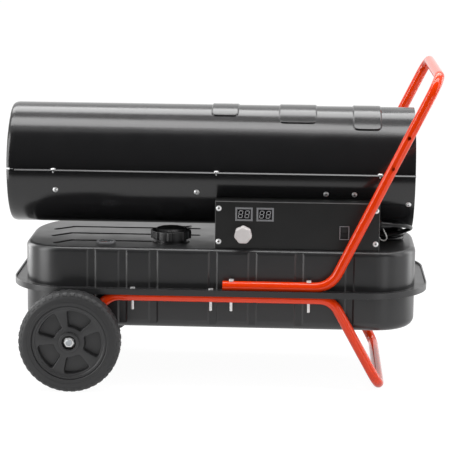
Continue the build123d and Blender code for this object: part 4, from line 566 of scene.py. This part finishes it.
def screw_mesh(name, length):
    """A screw whose seat is at the origin and whose head stands along +Z."""
    profile = [
        (0, HEAD_H), (1.6, HEAD_H - 0.06), (3.0, HEAD_H - 0.35), (4.0, HEAD_H - 0.95),
        (HEAD_R, FLANGE_H + 0.1), (HEAD_R + 0.2, FLANGE_H), (FLANGE_R - 0.15, FLANGE_H - 0.1),
        (FLANGE_R, 0.5), (FLANGE_R, 0), (SCREW_R, 0),
    ]
    for ring in range(int((length - 1.2) / THREAD_PITCH)):
        depth = 0.6 + ring * THREAD_PITCH
        profile += [(SCREW_R - 0.35, -depth), (SCREW_R, -depth - THREAD_PITCH / 2)]
    profile += [(SCREW_R - 0.7, -length), (0, -length)]
    body = put(lathe(name, profile, 32))
    cutter = put(recess_bars())
    cut = body.modifiers.new("recess", "BOOLEAN")
    cut.object = cutter
    cut.operation = "DIFFERENCE"
    cut.use_self = True
    mesh = settle(body, name)
    bpy.data.objects.remove(cutter)
    return mesh


# %% Screws of the barrel and of the panel
SEAM_SCREW_X = (-334.2, -11.0, 311.0)
SIDE_SCREW_X = (-331.0, -50.2, 205.8, 261.8)
TAIL_SCREW_X = 369.0
SEAM_TOP_Z = 422.9
SEAM_SCREW_Y = BARREL_R + 6.0
SIDE_LENGTH, SEAM_LENGTH = 9.0, 7.0
SIDE_SEED, SEAM_SEED, PANEL_SEED = 3, 5, 9


def on_barrel(x, degrees):
    """Place and facing on the barrel's skin, degrees from straight up."""
    lean = radians(degrees)
    out = Vector((0, sin(lean), cos(lean)))
    seat = BARREL_R + SEAT_GAP
    return (x, seat * out.y, BARREL_Z + seat * out.z), out


side_spots, seam_spots = [], []
for side in (-1, 1):
    side_spots += [on_barrel(x, side * 108.6) for x in SIDE_SCREW_X]
    side_spots.append(on_barrel(TAIL_SCREW_X, side * 118.5))
    seam_spots += [((x, side * SEAM_SCREW_Y, SEAM_TOP_Z), (0, 0, 1)) for x in SEAM_SCREW_X]
panel_spots = [((x, PANEL_FRONT_Y, z), (0, -1, 0)) for x in (-4.0, 304.0) for z in (290.5, 356.5)]

side_mesh = set_on_points("side_screws", side_spots, screw_mesh("short_screw", SIDE_LENGTH), nickel, SIDE_SEED)
seam_mesh = set_on_points("seam_screws", seam_spots, screw_mesh("long_screw", SEAM_LENGTH), nickel, SEAM_SEED)
barrel_mesh = joined("barrel_screw_set", (side_mesh, seam_mesh))
barrel_screws = add_piece(barrel_mesh, nickel, "chassis")
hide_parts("barrel_screws")
panel_screw = screw_mesh("panel_screw", SIDE_LENGTH)
panel_mesh = set_on_points("panel_screw_set", panel_spots, panel_screw, nickel, PANEL_SEED)
panel_screws = add_piece(panel_mesh, nickel, "chassis")
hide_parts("panel_screws")

# %% [markdown]
# ## Painted shade in the screw recesses
# A thin dark cross lies on the floor of every screw recess as painted shade, where the deep recess
# is shaded. The crosses are set by the same tree and the same seeds as the screws, so that each
# cross turns with its own screw.

# %% Painted shade on the floors of the recesses
# Dark crosses of painted shade for the floors of the screw recesses.
recess_shade_paint = finish("oiled_recess_floor", "#1b1b1b", "#242424", 0.6, 0.05, [(0.5, 0.01)])
CROSS_LONG, CROSS_WIDE, CROSS_Z, CROSS_H = 2.45, 0.62, 1.45, 0.1
arm = [(CROSS_LONG, CROSS_WIDE), (CROSS_WIDE, CROSS_WIDE), (CROSS_WIDE, CROSS_LONG)]
quarters = ((1, 1, arm), (-1, 1, arm[::-1]), (-1, -1, arm), (1, -1, arm[::-1]))
cross = [(a * x, b * y) for a, b, corner in quarters for x, y in corner]
recess_shade_meshes = []
for spots, turn_seed in ((side_spots, SIDE_SEED), (seam_spots, SEAM_SEED), (panel_spots, PANEL_SEED)):
    recess_floor = plate("recess_floor", [cross], CROSS_H)
    recess_floor.transform(Matrix.Translation(mm(0, 0, CROSS_Z)))
    recess_shade_meshes.append(set_on_points("recess_floors", spots, recess_floor, recess_shade_paint, turn_seed))
add_piece(joined("screw_recess_floors", recess_shade_meshes), recess_shade_paint, "chassis")

# %% [markdown]
# ## Tyres
# Solid rubber tyres with a smooth side wall and 42 blocks along each shoulder, which show along
# the top of the wheel and as notches in its outline. The carcass is lathed, with the fine rings
# that the mould leaves in the side wall. The blocks repeat round the wheel, so a second tree turns
# one pair of blocks round the axle and takes their number as an input.

# %% Tree that repeats a block round the axle
BLOCKS = 42
tread = start_tree("blocks_round_the_tyre", (
    ("Block", "Geometry", None), ("Blocks round", "Int", BLOCKS), ("Finish", "Material", None),
))
tree = tread[0]
given = node(tree, "NodeGroupInput").outputs
spokes = node(tree, "GeometryNodePoints", None, {"Count": given["Blocks round"]})
pitch = node(tree, "ShaderNodeMath", {0: 2 * pi}, {1: given["Blocks round"]}, operation="DIVIDE")
order = node(tree, "GeometryNodeInputIndex")
angle_links = {0: order.outputs["Index"], 1: pitch.outputs["Value"]}
angle = node(tree, "ShaderNodeMath", None, angle_links, operation="MULTIPLY")
about_axle = node(tree, "ShaderNodeCombineXYZ", None, {"Z": angle.outputs["Value"]})
as_turn = node(tree, "FunctionNodeEulerToRotation", None, {"Euler": about_axle.outputs["Vector"]})
copies = node(
    tree, "GeometryNodeInstanceOnPoints", None,
    {"Points": spokes.outputs["Points"], "Instance": given["Block"], "Rotation": as_turn.outputs["Rotation"]},
)
end_tree(tree, copies)

# %% Tyre
TYRE_R = 100.0
TYRE_SEAT_R = 74.0
BLOCK_DEEP = 1.2
SHOULDER_IN_Y = 6.2
ARC = 2 * pi / BLOCKS
WHEELS = ((-1, "near"), (1, "far"))


def onto_axle(side, turn):
    """Turns a mesh spun round Z onto the axle, into the wheel on side -1 (near) or 1 (far)."""
    return Matrix.Translation(mm(WHEEL_X, side * WHEEL_MID_Y, WHEEL_Z)) @ Matrix.Rotation(turn, 4, "X")


def tyre_carcass():
    """Closed ring of the tyre without its blocks, spun round Z, from the seat over both walls."""
    floor_r = TYRE_R - BLOCK_DEEP
    wall = [(TYRE_SEAT_R, 18.0), (TYRE_SEAT_R, 19.6), (75.2, 20.6), (78.0, 21.0), (81.0, 20.9), (81.5, 20.5)]
    wall += [(82.0, 20.9), (86.0, 20.8), (89.5, 20.2), (90.0, 19.8), (90.5, 19.9), (93.5, 18.6), (95.5, 16.8)]
    wall += [(floor_r, 14.0), (floor_r, 9.5), (floor_r + 0.1, 3.2), (TYRE_R - 0.4, 2.8), (TYRE_R - 0.1, 1.0)]
    profile = wall + [(radius, -height) for radius, height in reversed(wall)]
    profile.append(profile[0])
    return lathe("tyre_carcass", profile, 168)


def tread_blocks():
    """One block of each shoulder, half a block apart, each running on to the tyre's middle."""
    form = bmesh.new()
    floor_r = TYRE_R - BLOCK_DEEP - 0.6
    for sign, shift in ((1, 0.0), (-1, 0.5)):
        rings = []
        for y, half, top in ((19.0, 0.30, 94.2), (16.4, 0.31, 98.0), (12.6, 0.33, TYRE_R)):
            low = min(floor_r, top - BLOCK_DEEP)
            rings.append([
                form.verts.new(mm(r * cos(a), r * sin(a), sign * y))
                for r, a in (
                    (low, ARC * (shift - half)), (top, ARC * (shift - half + 0.04)),
                    (top, ARC * (shift + half - 0.04)), (low, ARC * (shift + half)),
                )
            ])
        rings.append([
            form.verts.new(mm(r * cos(a), r * sin(a), sign * SHOULDER_IN_Y))
            for r, a in (
                (floor_r, ARC * (shift - 0.12)), (TYRE_R, ARC * (shift - 0.09)),
                (TYRE_R, ARC * (shift + 0.31)), (floor_r, ARC * (shift + 0.34)),
            )
        ])
        form.faces.new(rings[0])
        form.faces.new(rings[-1])
        bridge(form, rings)
    return mesh_from(form, "tread_blocks")


values = {"Blocks round": BLOCKS, "Finish": tyre_rubber}
for side, side_name in WHEELS:
    blocks = run_tree(put(tread_blocks()), tread, values, "blocks_" + side_name)
    tyre_mesh = joined("tyre_" + side_name, (blocks, tyre_carcass()))
    tyre_mesh.transform(onto_axle(side, pi / 2))
    tyre = add_piece(tyre_mesh, tyre_rubber, "wheel_" + side_name, 28.0)
    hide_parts("wheel_tyre_" + side_name)

# %% [markdown]
# ## Rims
# A rim is moulded in one piece: a lip that holds the tyre, a disc with five pockets on each side and
# a hub with a deep recess for the nut. A mould needs round edges, so every pocket is a stack of
# outlines, each a little smaller and deeper than the last. The outline is a ring sector. Its
# points store a place and the way out, so that one list gives the outline at any offset.

# %% Rim
RIM_R, LIP_IN_R, HUB_R, BORE_R = 73.9, 66.0, 20.0, 6.05
DISC_OUT, DISC_IN, WEB_HALF = 14.0, -13.0, 2.0
POCKET_IN_R, POCKET_OUT_R, POCKET_SPAN, POCKET_CORNER = 30.0, 63.2, 51.0, 5.5
POCKETS, POCKET_TURN = 5, -3.0
RIM_STEPS = 120


def sector_outline():
    """Places and outward directions round a ring sector whose corners turn on a radius."""
    half = radians(POCKET_SPAN / 2)
    far, near = POCKET_OUT_R - POCKET_CORNER, POCKET_IN_R + POCKET_CORNER
    far_lean = half - asin(POCKET_CORNER / far)
    near_lean = half - asin(POCKET_CORNER / near)
    runs = [
        (far, -far_lean, far_lean, -far_lean, far_lean, 10),
        (far, far_lean, far_lean, far_lean, half + pi / 2, 5),
        (near, near_lean, near_lean, half + pi / 2, near_lean + pi, 5),
        (near, near_lean, -near_lean, near_lean + pi, pi - near_lean, 5),
        (near, -near_lean, -near_lean, pi - near_lean, 1.5 * pi - half, 5),
        (far, -far_lean, -far_lean, 1.5 * pi - half, 2 * pi - far_lean, 5),
    ]
    outline = []
    for radius, lean, last_lean, way, last_way, steps in runs:
        for i in range(steps):
            a, b = lean + (last_lean - lean) * i / steps, way + (last_way - way) * i / steps
            outline.append((radius * cos(a), radius * sin(a), cos(b), sin(b)))
    return outline


def ring_of(form, points):
    """Vertices of a closed ring and the edges between them."""
    verts = [form.verts.new(mm(*point)) for point in points]
    return verts, [form.edges.new((verts[i], verts[(i + 1) % len(verts)])) for i in range(len(verts))]


def disc_side(form, face, web, lip_ring, hub_ring):
    """One side of the disc: its flat face and five pockets down to the web."""
    down = 1 if face > web else -1
    floor = abs(face - web)
    steps = [(1.6, 0.0), (0.9, 0.15), (0.35, 0.55), (0.0, 1.3), (-1.0, floor - 1.0), (-1.8, floor)]
    outline = sector_outline()
    holes = []
    for pocket in range(POCKETS):
        turn = radians(POCKET_TURN + pocket * 360 / POCKETS)
        rings = []
        for grow, depth in steps:
            points = []
            for x, y, way_x, way_y in outline:
                px, py = x + (POCKET_CORNER + grow) * way_x, y + (POCKET_CORNER + grow) * way_y
                turned_x = px * cos(turn) - py * sin(turn)
                turned_y = px * sin(turn) + py * cos(turn)
                points.append((turned_x, turned_y, face - down * depth))
            rings.append(ring_of(form, points))
        holes += rings[0][1]
        bridge(form, [verts for verts, _ in rings])
        form.faces.new(rings[-1][0])
    bmesh.ops.triangle_fill(form, use_beauty=True, use_dissolve=False, edges=holes + lip_ring + hub_ring)


def rim_mesh(name):
    """The whole rim round Z, its outer side up."""
    lip = [
        (LIP_IN_R, DISC_OUT), (67.0, 14.4), (67.7, 15.8), (68.8, 16.7), (70.0, 17.0), (72.9, 17.0),
        (73.6, 16.7), (RIM_R, 16.0), (RIM_R, -16.0), (73.6, -16.7), (72.9, -17.0), (67.2, -17.0), (66.3, -16.6),
        (LIP_IN_R, -15.8), (LIP_IN_R, DISC_IN),
    ]
    hub = [
        (HUB_R, DISC_OUT), (20.2, 14.6), (HUB_R, 18.1), (19.7, 18.7), (19.1, 19.0), (15.1, 19.0), (14.4, 18.7),
        (14.1, 18.1), (14.0, 9.0), (BORE_R, 9.0), (BORE_R, -20.5), (19.2, -20.5), (19.8, -20.2),
        (HUB_R, -19.6), (HUB_R, DISC_IN),
    ]
    form = bmesh.new()
    closing = []
    for profile in (lip, hub):
        rings = [
            ring_of(form, [(r * cos(turn), r * sin(turn), height) for turn in turns(RIM_STEPS)])
            for r, height in profile
        ]
        bridge(form, [verts for verts, _ in rings])
        closing.append((rings[0][1], rings[-1][1]))
    (lip_top, lip_low), (hub_top, hub_low) = closing
    disc_side(form, DISC_OUT, WEB_HALF, lip_top, hub_top)
    disc_side(form, DISC_IN, -WEB_HALF, lip_low, hub_low)
    return mesh_from(form, name)


for side, side_name in WHEELS:
    wheel_rim = rim_mesh("rim_" + side_name)
    wheel_rim.transform(onto_axle(side, -side * pi / 2))
    rim_piece = add_piece(wheel_rim, rim_plastic, "wheel_" + side_name, 40.0)
    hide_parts("wheel_rim_" + side_name)

# %% [markdown]
# ## Pads on the barrel
# The upper shell is pressed outwards in three places, and a press rounds what it draws: the sheet
# leaves the barrel in a soft slope and turns over into the pad. Each cover below is a grid wrapped
# round the barrel. Its height follows from how far a point lies inside a rounded rectangle.

# %% Pad covers
PADS = ((1.75, 51.0, 28.6), (147.5, 72.0, 37.5), (285.5, 53.4, 44.6))
PAD_RISE, PAD_CORNER, PAD_SLOPE = 2.2, 9.0, 3.6
PAD_FLOOR = -0.5


def spread(half):
    """Places from -half to half, fine near both ends and wide in the middle."""
    edge = [half + 4.0 - 0.7 * i for i in range(15)]
    count = max(2, int(2 * edge[-1] / 5.0))
    middle = [edge[-1] - 2 * edge[-1] * i / count for i in range(1, count)]
    return edge + middle + [-place for place in reversed(edge)]


def pad_cover(form, x, width, degrees):
    """Adds the closed cover of one pad to form."""
    reach = BARREL_R * radians(degrees)
    half_x = width / 2
    rows = []
    for around in spread(reach):
        lean = around / BARREL_R
        row = []
        for along in spread(half_x):
            gap_x, gap_s = abs(along) - half_x + PAD_CORNER, abs(around) - reach + PAD_CORNER
            outside = hypot(max(gap_x, 0), max(gap_s, 0)) + min(max(gap_x, gap_s), 0) - PAD_CORNER
            share = min(max((PAD_SLOPE - 1.0 - outside) / PAD_SLOPE, 0.0), 1.0)
            rise = PAD_FLOOR / 2 + (PAD_RISE - PAD_FLOOR / 2) * share * share * (3 - 2 * share)
            spots = []
            for radius in (BARREL_R + rise, BARREL_R + PAD_FLOOR):
                y, z = -radius * sin(lean), BARREL_Z + radius * cos(lean)
                spots.append(form.verts.new(mm(x + along, y, z)))
            row.append(spots)
        rows.append(row)
    for a, b in zip(rows, rows[1:]):
        for i in range(len(a) - 1):
            form.faces.new((a[i][0], a[i + 1][0], b[i + 1][0], b[i][0]))
            form.faces.new((a[i][1], b[i][1], b[i + 1][1], a[i + 1][1]))
    border = [row[0] for row in rows] + rows[-1][1:]
    border += [row[-1] for row in reversed(rows[:-1])] + rows[0][-2:0:-1]
    bridge(form, ([pair[0] for pair in border], [pair[1] for pair in border]))


pad_form = bmesh.new()
for pad_x, pad_width, pad_degrees in PADS:
    pad_cover(pad_form, pad_x, pad_width, pad_degrees)
add_piece(mesh_from(pad_form, "barrel_pads"), barrel_enamel, "chassis", 60.0)

# %% [markdown]
# ## Painted shade round the wheel nuts
# A black ring lies round each wheel nut in the hub's recess, as painted shade where the deep recess
# is shaded. It stays with the axle, as the nut does, and the wheel turns round it.

# %% Black rings of painted shade round the wheel nuts
RING_IN, RING_OUT, RING_FLOOR, RING_TOP, RING_EDGE = 10.0, 13.7, 10.6, 12.0, 0.4
nut_shade_rings = []
for side, side_name in WHEELS:
    ring = lathe("seal_ring", [
        (RING_IN, RING_FLOOR), (RING_OUT, RING_FLOOR), (RING_OUT, RING_TOP - RING_EDGE),
        (RING_OUT - RING_EDGE, RING_TOP), (RING_IN + RING_EDGE, RING_TOP),
        (RING_IN, RING_TOP - RING_EDGE), (RING_IN, RING_FLOOR),
    ], 48)
    ring.transform(onto_axle(side, -side * pi / 2))
    nut_shade_rings.append(ring)
add_piece(joined("nut_seal_rings", nut_shade_rings), seal_rubber_and_nut_shade, "chassis")

# %% [markdown]
# ## Display segments
# Two modules show a set and a room temperature in two digits each. They are off, so their seven
# segments show as pale bars on dark glass, leaning 8 degrees as such digits do. A segment is a
# six-sided bar, lying or upright, and twenty-eight outlines of it make one thin plate.

# %% Displays
DISPLAY_X = (45.5, 87.0)
DISPLAY_Z = 345.5
DISPLAY_FACE_Y = -160.6
DIGIT_W, DIGIT_H = 7.2, 13.8
DIGIT_SPOTS = (-6.6, 6.2)
BAR_HALF, BAR_GAP = 0.55, 0.4
WINDOW_HALF_W, WINDOW_HALF_H, WINDOW_THICK = 13.4, 9.9, 0.25
PRINT_THICK = 0.12
LEAN = radians(8)


def rectangle(x0, y0, x1, y1):
    """Outline of a rectangle from one corner to the opposite one."""
    return [(x0, y0), (x1, y0), (x1, y1), (x0, y1)]


def onto_panel(depth_y):
    """Turns a flat mesh drawn in x and y so that it stands on the panel, facing -Y."""
    return Matrix.Translation(mm(0, depth_y, 0)) @ Matrix.Rotation(pi / 2, 4, "X")


def bar_outline(x, y, half, upright):
    """Six-sided bar round (x, y), sheared by the digits' lean."""
    flat = half - BAR_HALF
    shape = [(-half, 0), (-flat, BAR_HALF), (flat, BAR_HALF), (half, 0), (flat, -BAR_HALF), (-flat, -BAR_HALF)]
    if upright:
        shape = [(-b, a) for a, b in shape]
    points = [(x + a, y + b) for a, b in shape]
    return [(px + (py - DISPLAY_Z) * tan(LEAN), py) for px, py in points]


segment_outlines = []
for module_x in DISPLAY_X:
    for digit_x in (module_x + place for place in DIGIT_SPOTS):
        for step_z in (-1, 0, 1):
            centre_z = DISPLAY_Z + step_z * DIGIT_H / 2
            segment_outlines.append(bar_outline(digit_x, centre_z, DIGIT_W / 2 - BAR_GAP, False))
        for side in (-1, 1):
            for step_z in (-0.5, 0.5):
                centre_z = DISPLAY_Z + step_z * DIGIT_H / 2
                bar_x = digit_x + side * DIGIT_W / 2
                segment_outlines.append(bar_outline(bar_x, centre_z, DIGIT_H / 4 - BAR_GAP, True))

segment_white = finish("unlit_segment_epoxy", "#a9a9ab", "#9f9fa1", 0.4, 0.03, [(0.5, 0.003)])
window_black = finish("smoked_display_window", "#141416", "#18181a", 0.18, 0.02, [(6.0, 0.003)])
window_outlines = [
    rectangle(x - WINDOW_HALF_W, DISPLAY_Z - WINDOW_HALF_H, x + WINDOW_HALF_W, DISPLAY_Z + WINDOW_HALF_H)
    for x in DISPLAY_X
]
window_mesh = plate("display_windows", window_outlines, WINDOW_THICK)
window_mesh.transform(onto_panel(DISPLAY_FACE_Y))
add_piece(window_mesh, window_black, "chassis")
segment_mesh = plate("display_segments", segment_outlines, PRINT_THICK)
segment_mesh.transform(onto_panel(DISPLAY_FACE_Y - WINDOW_THICK))
add_piece(segment_mesh, segment_white, "chassis")

# %% [markdown]
# ## Painted highlights on the panel
# A pale line of painted highlight frames the switch, where the edge of its bezel catches the light.
# The panel's bent edge catches the light along its top and its two ends, and three thin strips of
# painted highlight stand for that.

# %% Painted highlights on the switch bezel and the panel edges
# A pale outline of painted highlight round the switch bezel.
bezel_highlight_paint = finish("grey_printed_frame", "#8e8b8f", "#868488", 0.45, 0.03, [(0.5, 0.003)])
(SWITCH_X0, SWITCH_X1), (SWITCH_Z0, SWITCH_Z1) = (233.1, 251.8), (298.6, 325.3)
FRAME_WIDE, FRAME_THICK, BEZEL_FRONT_Y = 1.2, 0.15, -162.0
bezel_highlight_mesh = plate("switch_frame", [
    rectangle(SWITCH_X0, SWITCH_Z0, SWITCH_X1, SWITCH_Z0 + FRAME_WIDE),
    rectangle(SWITCH_X0, SWITCH_Z1 - FRAME_WIDE, SWITCH_X1, SWITCH_Z1),
    rectangle(SWITCH_X0, SWITCH_Z0 + FRAME_WIDE, SWITCH_X0 + FRAME_WIDE, SWITCH_Z1 - FRAME_WIDE),
    rectangle(SWITCH_X1 - FRAME_WIDE, SWITCH_Z0 + FRAME_WIDE, SWITCH_X1, SWITCH_Z1 - FRAME_WIDE),
], FRAME_THICK)
bezel_highlight_mesh.transform(onto_panel(BEZEL_FRONT_Y))
add_piece(bezel_highlight_mesh, bezel_highlight_paint, "chassis")

# Pale strips of painted highlight along the panel's top and its two ends.
edge_highlight_paint = finish("worn_sheet_edge", "#6f6f6f", "#646464", 0.4, 0.03, [(0.5, 0.003)])
(PANEL_X0, PANEL_X1), (PANEL_Z0, PANEL_Z1), EDGE_TOP, EDGE_SIDE = (-11.0, 311.0), (276.0, 371.0), 1.5, 0.7
edge_outlines = [rectangle(PANEL_X0, PANEL_Z1 - EDGE_TOP, PANEL_X1, PANEL_Z1)]
for x in (PANEL_X0, PANEL_X1 - EDGE_SIDE):
    edge_outlines.append(rectangle(x, PANEL_Z0, x + EDGE_SIDE, PANEL_Z1 - EDGE_TOP))
edge_mesh = plate("panel_edges", edge_outlines, PRINT_THICK)
edge_mesh.transform(onto_panel(PANEL_FRONT_Y))
add_piece(edge_mesh, edge_highlight_paint, "chassis")

# %% [markdown]
# ## Knob
# The knob has seven soft lobes. Each ring of its skin is a circle whose radius swells and shrinks
# seven times, and the swelling fades towards the middle of its front.

# %% Knob
KNOB_X, KNOB_Z, KNOB_BACK_Y, KNOB_FRONT_Y = 44.5, 306.0, -161.5, -177.0
KNOB_R, KNOB_LEAST_R, LOBE, LOBES, LOBE_FADE, KNOB_STEPS = 16.9, 0.2, 0.65, 7, 12.0, 112
knob_form = bmesh.new()
knob_rings = []
for inset, y in (
    (16.0, KNOB_BACK_Y), (0.5, KNOB_BACK_Y), (0.0, KNOB_BACK_Y - 0.6), (0.1, KNOB_FRONT_Y + 4.2),
    (0.45, KNOB_FRONT_Y + 2.4), (1.2, KNOB_FRONT_Y + 1.1), (2.5, KNOB_FRONT_Y + 0.3),
    (4.0, KNOB_FRONT_Y), (13.0, KNOB_FRONT_Y + 0.25), (16.5, KNOB_FRONT_Y + 0.3),
):
    swell = LOBE * min(1.0, (KNOB_R - inset) / LOBE_FADE)
    ring = []
    for turn in turns(KNOB_STEPS):
        radius = max(KNOB_R - inset + swell * cos(LOBES * (turn - pi / 2)), KNOB_LEAST_R)
        spot = mm(KNOB_X + radius * cos(turn), y, KNOB_Z + radius * sin(turn))
        ring.append(knob_form.verts.new(spot))
    knob_rings.append(ring)
bridge(knob_form, knob_rings)
knob_form.faces.new(knob_rings[0])
knob_form.faces.new(knob_rings[-1])
knob_piece = add_piece(mesh_from(knob_form, "lobed_knob"), knob_abs, "knob", 50.0)
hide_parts("thermostat_knob")

# %% [markdown]
# ## Gauge marks and cord clip
# The gauge has a dial with nine ticks under its lens. A bent clip below the gland keeps the lead
# off the box's edge. It is drawn as a round line, as the cord is, and kept as a mesh.

# %% Gauge dial and cord clip
GAUGE_X, GAUGE_Y, DIAL_Z, DIAL_R = -230.0, -118.0, 276.25, 12.6
TICKS, FIRST_TICK, TICK_STEP = 9, 160, 27.5
TICK_IN, TICK_OUT = DIAL_R - 4.2, DIAL_R - 0.8
tick_outlines = []
for tick in range(TICKS):
    turn = radians(FIRST_TICK + tick * TICK_STEP)
    along, across = Vector((cos(turn), sin(turn))), Vector((-sin(turn), cos(turn)))
    half = 0.55 if tick % 4 == 0 else 0.3
    spots = rectangle(TICK_IN, -half, TICK_OUT, half)
    tick_outlines.append([tuple(along * reach + across * side) for reach, side in spots])
dial_white = finish("white_dial_print", "#d9d9d6", "#d0d0cd", 0.5, 0.03, [(0.5, 0.002)])
dial_mesh = plate("gauge_ticks", tick_outlines, PRINT_THICK)
dial_mesh.transform(Matrix.Translation(mm(GAUGE_X, GAUGE_Y, DIAL_Z)))
add_piece(dial_mesh, dial_white, "chassis")

CLIP_R = 1.3
clip_route = [
    (318, -124, 318), (321, -128, 312), (325, -130, 304), (327.5, -129, 296.5),
    (323, -127, 291), (317, -126, 292), (312, -125, 296), (310.3, -124, 302),
]
clip_mesh = settle(round_line("clip_line", clip_route, CLIP_R), "cord_clip")
add_piece(clip_mesh, tie_nylon, "chassis")

# %% [markdown]
# ## Studio
# A pale floor runs to the horizon under a white room. Light Path makes floor and room plain white
# to the camera, to reflections and through clear parts, while their diffuse light stays moderate.
# Black gloss shows only what it mirrors, so the lamps matter more than the paint. A long soft lamp
# overhead and one behind draw the two pale bands on the barrel, and lamps at both ends draw its
# outline. Two dark cards in front, one standing and one lying, keep its side black. Only
# reflections see them.

# %% Floor and room
FLOOR_HALF = 25.0


def seen_directly(tree):
    """1 for camera, mirror and transmission rays, 0 for diffuse light."""
    rays = node(tree, "ShaderNodeLightPath").outputs
    two = node(
        tree, "ShaderNodeMath", None, {0: rays["Is Camera Ray"], 1: rays["Is Glossy Ray"]}, operation="ADD"
    )
    three = node(
        tree, "ShaderNodeMath", None, {0: two.outputs["Value"], 1: rays["Is Transmission Ray"]},
        operation="ADD", use_clamp=True,
    )
    return three.outputs["Value"]


floor_mesh = bpy.data.meshes.new("studio_floor")
floor_mesh.from_pydata([(x, y, 0.0) for x, y in rectangle(-1, -1, 1, 1)], [], [(0, 1, 2, 3)])
floor_mesh.transform(Matrix.Scale(FLOOR_HALF, 4))
studio_floor = put(floor_mesh)
floor_paint, tree = blank("pale_studio_floor")
tree.nodes.remove(tree.nodes["Principled BSDF"])
matt = node(tree, "ShaderNodeBsdfDiffuse", {"Color": (0.72, 0.72, 0.72, 1)})
faint = node(tree, "ShaderNodeBsdfDiffuse", {"Color": (0.12, 0.12, 0.12, 1)})
glow = node(tree, "ShaderNodeEmission", {"Color": (1, 1, 1, 1), "Strength": 0.95})
bright = node(tree, "ShaderNodeAddShader", None, {0: faint.outputs[0], 1: glow.outputs[0]})
shown_links = {0: seen_directly(tree), 1: matt.outputs[0], 2: bright.outputs[0]}
shown = node(tree, "ShaderNodeMixShader", None, shown_links)
tree.links.new(shown.outputs[0], tree.nodes["Material Output"].inputs["Surface"])
floor_mesh.materials.append(floor_paint)

world = bpy.data.worlds.new("white_room")
world.use_nodes = True
bpy.context.scene.world = world
tree = world.node_tree
level = node(tree, "ShaderNodeMapRange", {"To Min": 0.65, "To Max": 1.0}, {"Value": seen_directly(tree)})
tree.links.new(level.outputs["Result"], tree.nodes["Background"].inputs["Strength"])
tree.nodes["Background"].inputs["Color"].default_value = (1, 1, 1, 1)


# %% Lamps and dark cards
def softbox(name, spot, target, wide, high, radiance, mirrored_only=False, turn=0.0):
    """Rectangular lamp at spot, facing target, in metres. Power follows from how bright it looks."""
    lamp = bpy.data.lights.new(name, "AREA")
    lamp.shape = "RECTANGLE"
    lamp.size, lamp.size_y = wide, high
    lamp.energy = radiance * pi * wide * high
    item = put(lamp)
    item.location = spot
    aim = Vector(target) - Vector(spot)
    item.rotation_mode = "QUATERNION"
    item.rotation_quaternion = Quaternion((0, 0, 1), radians(turn)) @ aim.to_track_quat("-Z", "Y")
    item.visible_camera = False
    item.visible_diffuse = not mirrored_only


def dark_card(name, low, high):
    """Matt black card that only mirror rays see, between two edges given as (y, z) in metres."""
    corners = [(-CARD_HALF, *low), (CARD_HALF, *low), (CARD_HALF, *high), (-CARD_HALF, *high)]
    mesh = bpy.data.meshes.new(name)
    mesh.from_pydata(corners, [], [(0, 1, 2, 3)])
    mesh.materials.append(card_paint)
    card = put(mesh)
    card.visible_camera = False
    card.visible_diffuse = False
    card.visible_transmission = False
    card.visible_shadow = False


BARREL_MID = (0.0, 0.0, BARREL_Z * MM)
softbox("overhead_lamp", (0.0, -0.17, 2.2), (0.0, -0.1, 0.0), 3.0, 0.6, 6.5, turn=-12.0)
softbox("back_lamp", (0.0, 1.2, 2.15), BARREL_MID, 3.0, 0.8, 5.0, turn=-8.0)
softbox("left_front_lamp", (-1.22, -0.62, 0.8), (-0.37, -0.13, 0.8), 0.55, 1.6, 5.0, mirrored_only=True)
softbox("left_edge_lamp", (-1.25, 0.5, 0.5), (-0.39, -0.1, 0.5), 0.5, 1.0, 5.0, mirrored_only=True)
softbox("right_edge_lamp", (1.25, 0.35, 0.5), (0.38, -0.1, 0.5), 0.45, 1.0, 3.5, mirrored_only=True)
softbox("right_low_lamp", (0.85, -1.2, 0.2), (0.36, -0.15, 0.2), 0.3, 0.4, 2.5, mirrored_only=True)
softbox("right_fill_lamp", (1.7, -0.6, 0.9), (0.4, 0.0, 0.3), 0.5, 1.5, 2.0)

card_paint, tree = blank("matt_black_card")
card_surface = tree.nodes["Principled BSDF"]
card_surface.inputs["Base Color"].default_value = linear("#101010")
card_surface.inputs["Roughness"].default_value = 1.0
CARD_Y, CARD_NEAR_Y, CARD_HALF, CARD_TOP, CARD_LIFT = -1.8, -1.15, 2.6, 4.8, 0.004
dark_card("standing_card", (CARD_Y, 0), (CARD_Y, CARD_TOP))
dark_card("lying_card", (CARD_Y, CARD_LIFT), (CARD_NEAR_Y, CARD_LIFT))
